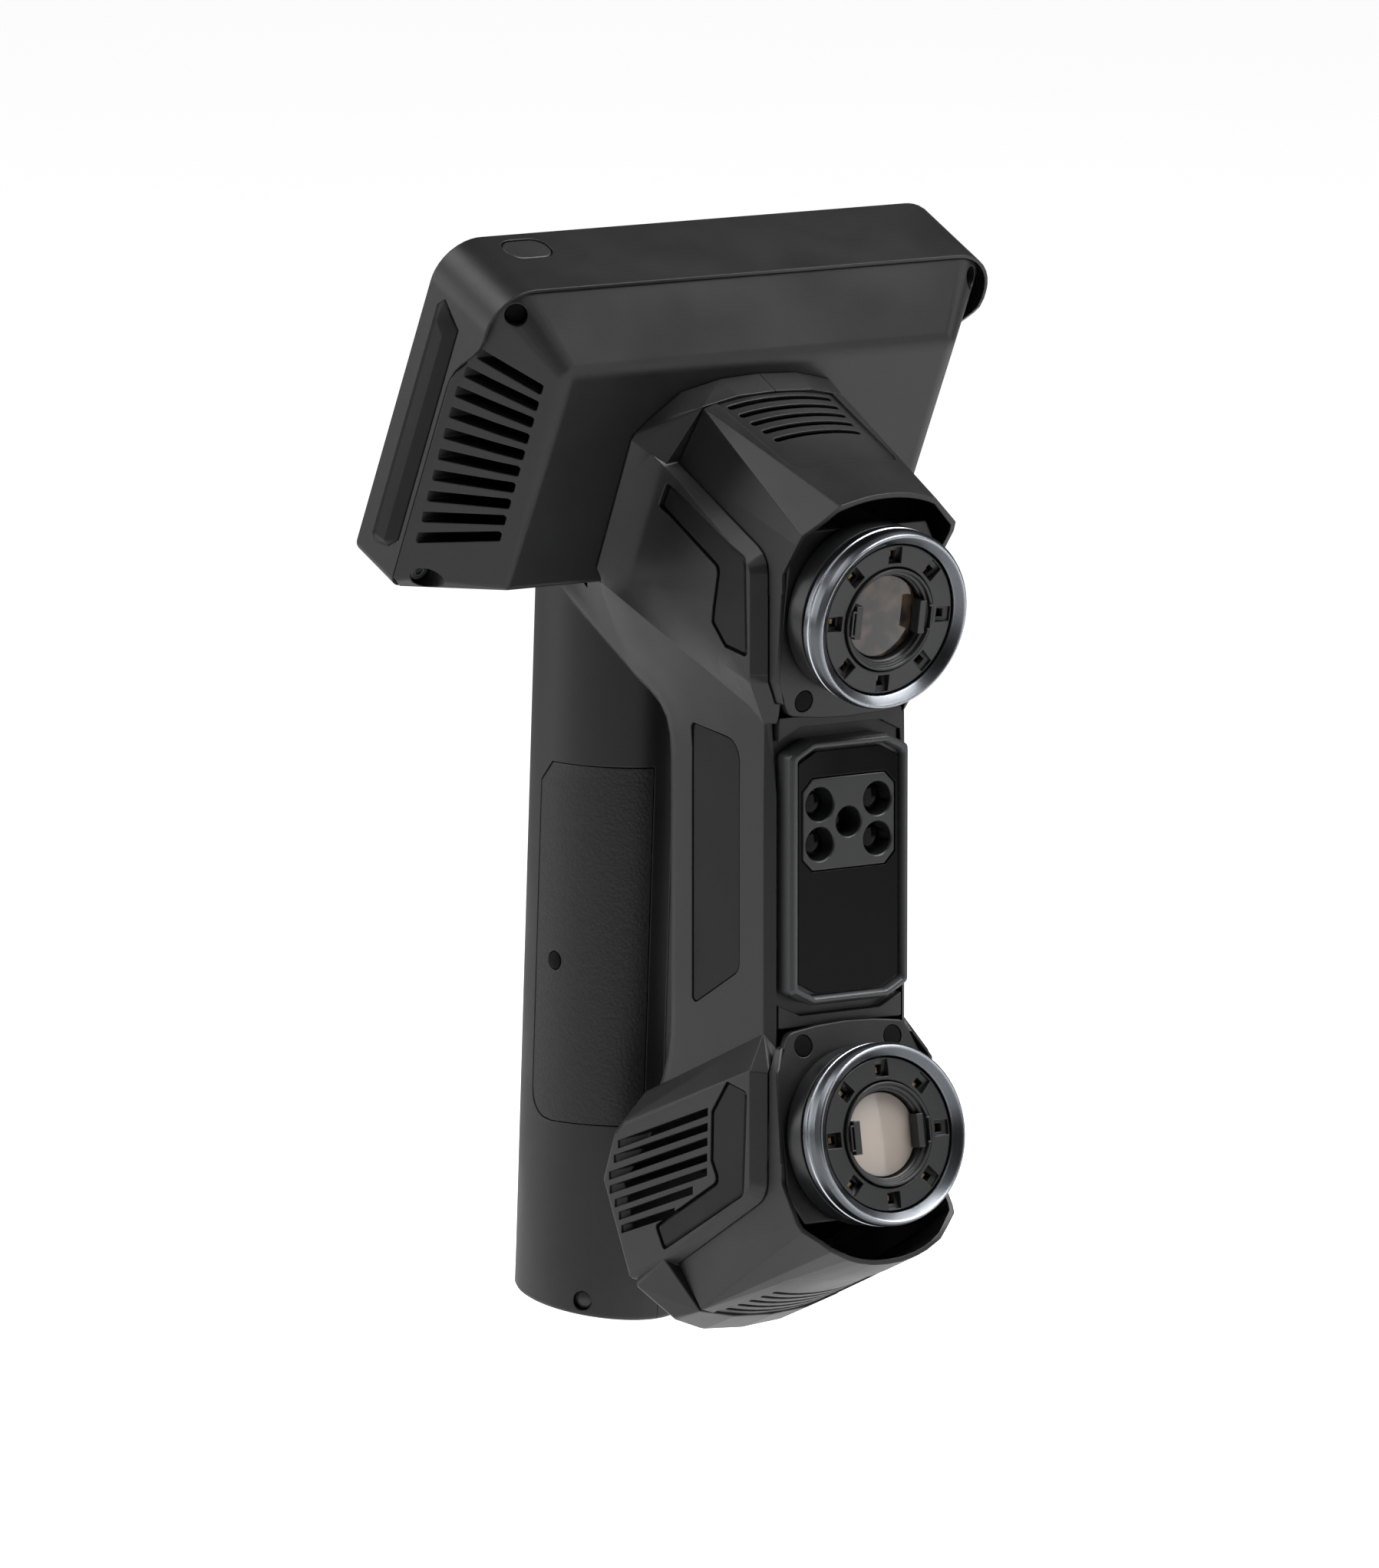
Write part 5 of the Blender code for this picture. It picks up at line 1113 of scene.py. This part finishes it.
def build_projector():
    block_frame = DATUM @ Matrix.Translation((0, 0, BLOCK_HEIGHT))
    cover = plate("cover", filleted(rectangle(-19.85, -41.0, 19.85, 41.0), 0.6, 3), 4.4, 0.0, "Y", edge=0.3)
    cut(cover, prism("pocket", octagon(24.0, 38.0, 11.0, 5.2), -10, 2.4, "Y"),
        prism("neck_way", octagon(16.8, 32.3, 6.0, 3.4), -10, 20, "Y"))
    dress(cover, "bar_front_cover", "shell")
    profile = [(9.0, 2.7), (2.1, 2.7), (2.1, 0.1), (-3.5, 0.0), (-3.8, 0.15), (-4.1, 0.5), (-4.7, 0.8),
               (-4.8, 1.05), (-4.8, 1.6), (-4.7, 1.8), (-4.0, 2.35), (-2.2, 2.5), (-2.2, 4.7), (9.0, 4.7)]
    levels = [(y, filleted(grown(octagon(19.1, 34.9, 7.0, 3.6), -inset), 1.4, 4)) for y, inset in profile]
    dress(stack("frame", levels, "Y", looped=True), "projector_frame", "graphite_frame", smooth=40)
    glass = plate("glass", filleted(octagon(16.2, 31.9, 5.9, 3.1), 0.8, 3), -2.5, -3.5, "Y", edge=0.15)
    cut(glass, prism("window", octagon(15.1, 12.4, 3.3, 3.3), -20, 20, "Y", block_frame))
    dress(glass, "projector_glass", "gloss_black")
    face = filleted(octagon(14.8, 12.1, 3.2, 3.2), 0.9, 3)
    block = join(plate("block", face, -2.4, -3.65, "Y", block_frame, edge=0.4),
                 prism("boss", octagon(13.6, 11.6, 3.0, 3.0), -2.6, 4.0, "Y", block_frame))
    lenses = []
    for index, (x, z) in enumerate(APERTURES):
        radius, depth = (4.45, 0.4) if index else (4.0, -1.6)
        place = block_frame @ Matrix.Translation((x, 0, z)) @ Matrix.Rotation(pi / 2, 4, "X")
        mouth = [(0, -10), (radius, -10), (radius, 3.3), (radius + 0.5, 3.8), (radius + 0.5, 9), (0, 9)]
        cut(block, turned("hole", mouth, place, 48))
        lens = [(0, -1.0), (3.0, -1.0), (3.0, 0.0), (2.4, 0.25), (1.2, 0.45), (0, 0.5)]
        lenses.append(turned("lens", [(reach, depth + out) for reach, out in lens], place, 40))
    dress(block, "aperture_block", "black_barrel")
    dress(together(*lenses[1:]), "projector_lenses", "gloss_black", extra=True)
    dress(lenses[0], "texture_lens", "gloss_black", extra=True)


# ---------------------------------------------------------------- handle

PANEL_HALF = 12.0
KEYS = (("scan_button", "scan_key", 0.0, -4.6, 4.6), ("plus_button", "plus_key", -6.2, 4.6, 2.8),
        ("minus_button", "minus_key", 6.2, 4.6, 2.8))       # name, body, across, up the slope, radius


def thumb_outline(half):
    """The thumb panel's outline, or the recess round it, by its half width."""
    step = half - PANEL_HALF
    return filleted(rectangle(-half, -10.9 - step, half, 9.3 + step), 3.7 + step, 6)


def build_handle():
    pack = handle_loft("pack", BATTERY_A, BATTERY_B, [(1.2, 0.05), (0.4, 0.35), (0.0, 1.1)],
                       (-118.0, BASE_Z + BATTERY_LENGTH))
    for k in range(3):
        rear = 3.2 * k - 8.0
        groove = filleted(rectangle(-8, BASE_Y + rear - 0.7, 8, BASE_Y + rear + 0.7), 0.65, 3)
        cut(pack, prism("pull", groove, BASE_Z - 6, BASE_Z + 1.3 + 0.1 * rear))
    dress(pack, "battery_pack", "black_trim", "battery")
    panel = plate("panel", thumb_outline(PANEL_HALF), -2.1, 0.0, "Z", THUMB, 0.5)
    for name, body, x, y, radius in KEYS:
        cut(panel, disc("key_hole", radius + 0.25, -6, 6, THUMB, (x, y), 48))
        crown = [(0, -1.8), (radius, -1.8), (radius, 0.9), (radius - 0.15, 1.15),
                 (radius - 0.5, 1.3), (0, 1.45)]
        if name == "scan_button":
            crown[-1:] = [(radius - 1.2, 1.3), (radius - 1.6, 1.0), (0, 0.85)]
        dress(turned("key", crown, THUMB, 48, (x, y)), name, "key_black", body)
    dress(panel, "thumb_panel", "black_trim")
    for name, body, x, y, radius in KEYS[1:]:
        bar = box("bar", (x - 1.2, y - 0.25, 1.42), (x + 1.2, y + 0.25, 1.5), THUMB)
        if name == "plus_button":
            bar = join(bar, box("bar", (x - 0.25, y - 1.2, 1.42), (x + 0.25, y + 1.2, 1.5), THUMB))
        dress(bar, name + "_sign", "key_black", body, extra=True, look=WHITE_PRINT)


# ---------------------------------------------------------------- carried-over pieces, floor, light, camera

CARRIED = {
    "optical_chassis": "black_barrel", "imaging_board": "circuit_board", "head_mainboard": "circuit_board",
    "heatsink": "milled_aluminium", "fan_housing": "graphite_frame", "fan_rotor": "graphite_frame",
    "lcd_panel": "display_panel", "laser_projector": "milled_aluminium", "texture_camera": "black_barrel",
    "battery_dock": "graphite_frame", "upper_objective": "black_barrel", "lower_objective": "black_barrel",
    "upper_camera_module": "milled_aluminium", "lower_camera_module": "milled_aluminium",
}


WHITE = (1, 1, 1, 1)
AMBIENT = 0.05
FLOOR_GLOW = 0.9                      # keeps the floor as pale as the backdrop
FLOOR_DROP = 0.115                    # metres: the battery slides out of the base above it


def paint_inner_pieces():
    for name, look in CARRIED.items():
        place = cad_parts[name].material_slots[0]
        place.link = "OBJECT"
        place.material = LOOKS[look]


def build_floor():
    nodes = Nodes("pale_floor")
    cloud = nodes.noise(400.0, 3.0)
    seen = nodes.add("ShaderNodeLightPath").outputs["Is Camera Ray"]
    glow = nodes.add("ShaderNodeMath", {0: seen, 1: FLOOR_GLOW}, operation="MULTIPLY")
    nodes.finish(nodes.ramp(cloud, 0.3, 0.7, (0.90, 0.90, 0.90), (0.94, 0.94, 0.94)),
                 nodes.spread(cloud, 0.7, 0.85),
                 {"Emission Color": WHITE, "Emission Strength": glow.outputs[0]})
    mesh = bpy.data.meshes.new("floor")
    level = CAD_BOX[0][2] - FLOOR_DROP
    mesh.from_pydata([(x, y, level) for x, y in rectangle(-30, -30, 30, 30)], [], [(0, 1, 2, 3)])
    mesh.materials.append(nodes.material)
    floor = bpy.data.objects.new("floor", mesh)
    SCENE.collection.objects.link(floor)


def softbox(name, round_angle, up_angle, power):
    """Square area light aimed at the middle of the object."""
    data = bpy.data.lights.new(name, "AREA")
    data.size, data.energy = LIGHT_WIDTH, power
    made = bpy.data.objects.new(name, data)
    SCENE.collection.objects.link(made)
    around, up = radians(round_angle), radians(up_angle)
    away = Vector((cos(up) * sin(around), -cos(up) * cos(around), sin(up)))
    made.location = away * LIGHT_REACH + Vector((0, 0, 0.1))
    made.rotation_euler = (Vector((0, 0, 0.14)) - made.location).to_track_quat("-Z", "Y").to_euler()


LIGHT_REACH, LIGHT_WIDTH = 1.8, 0.9   # metres
SOFTBOXES = {                         # degrees round from the front towards the right, degrees up, watts
    "right_high": (60, 50, 17.0),
    "right_low": (60, 15, 3.0),
    "front_high": (20, 58, 24.0),
    "front_low": (20, 4, 3.0),
    "left_high": (-95, 50, 8.0),
    "left_low": (-95, 15, 1.0),
    "rear_high": (-140, 50, 6.5),
    "rear_low": (-140, 15, 6.5),
}


def build_light():
    for name, (round_angle, up_angle, power) in SOFTBOXES.items():
        softbox(name, round_angle, up_angle, power)
    world = bpy.data.worlds.new("studio")
    SCENE.world = world
    world.use_nodes = True
    tree = world.node_tree
    path = tree.nodes.new("ShaderNodeLightPath")
    seen = feed(tree, tree.nodes["Background"], {"Color": WHITE, "Strength": 1.0})
    cast = feed(tree, tree.nodes.new("ShaderNodeBackground"), {"Color": WHITE, "Strength": AMBIENT})
    blend = feed(tree, tree.nodes.new("ShaderNodeMixShader"),
                 {"Fac": path.outputs["Is Camera Ray"], 1: cast.outputs[0], 2: seen.outputs[0]})
    feed(tree, tree.nodes["World Output"], {"Surface": blend.outputs[0]})
    SCENE.view_settings.view_transform = "Standard"


def build_camera():
    """Long lens to the front left of the object, a little above it."""
    turn, lift = radians(35.8), radians(8.5)
    right = Vector((cos(turn), -sin(turn), 0))
    back = Vector((-sin(turn) * cos(lift), -cos(turn) * cos(lift), sin(lift)))
    up = Vector((sin(turn) * sin(lift), cos(turn) * sin(lift), cos(lift)))
    distance, aside, above = 3860.0, -39.343, 21.741
    data = bpy.data.cameras.new("camera")
    data.sensor_width, data.lens, data.clip_end = 36.0, 339.922, 50.0
    made = bpy.data.objects.new("camera", data)
    SCENE.collection.objects.link(made)
    made.matrix_world = Matrix((right, up, back)).transposed().to_4x4()
    made.location = (back * distance + right * aside + up * above + Vector((0, -BASE_Y, -BASE_Z))) * MM
    SCENE.camera = made


build_camera()
build_light()
build_floor()
build_head()
build_shells()
build_trim()
for word in CAMERAS:
    build_hood(word)
    build_lens(word)
build_projector()
build_handle()
paint_inner_pieces()
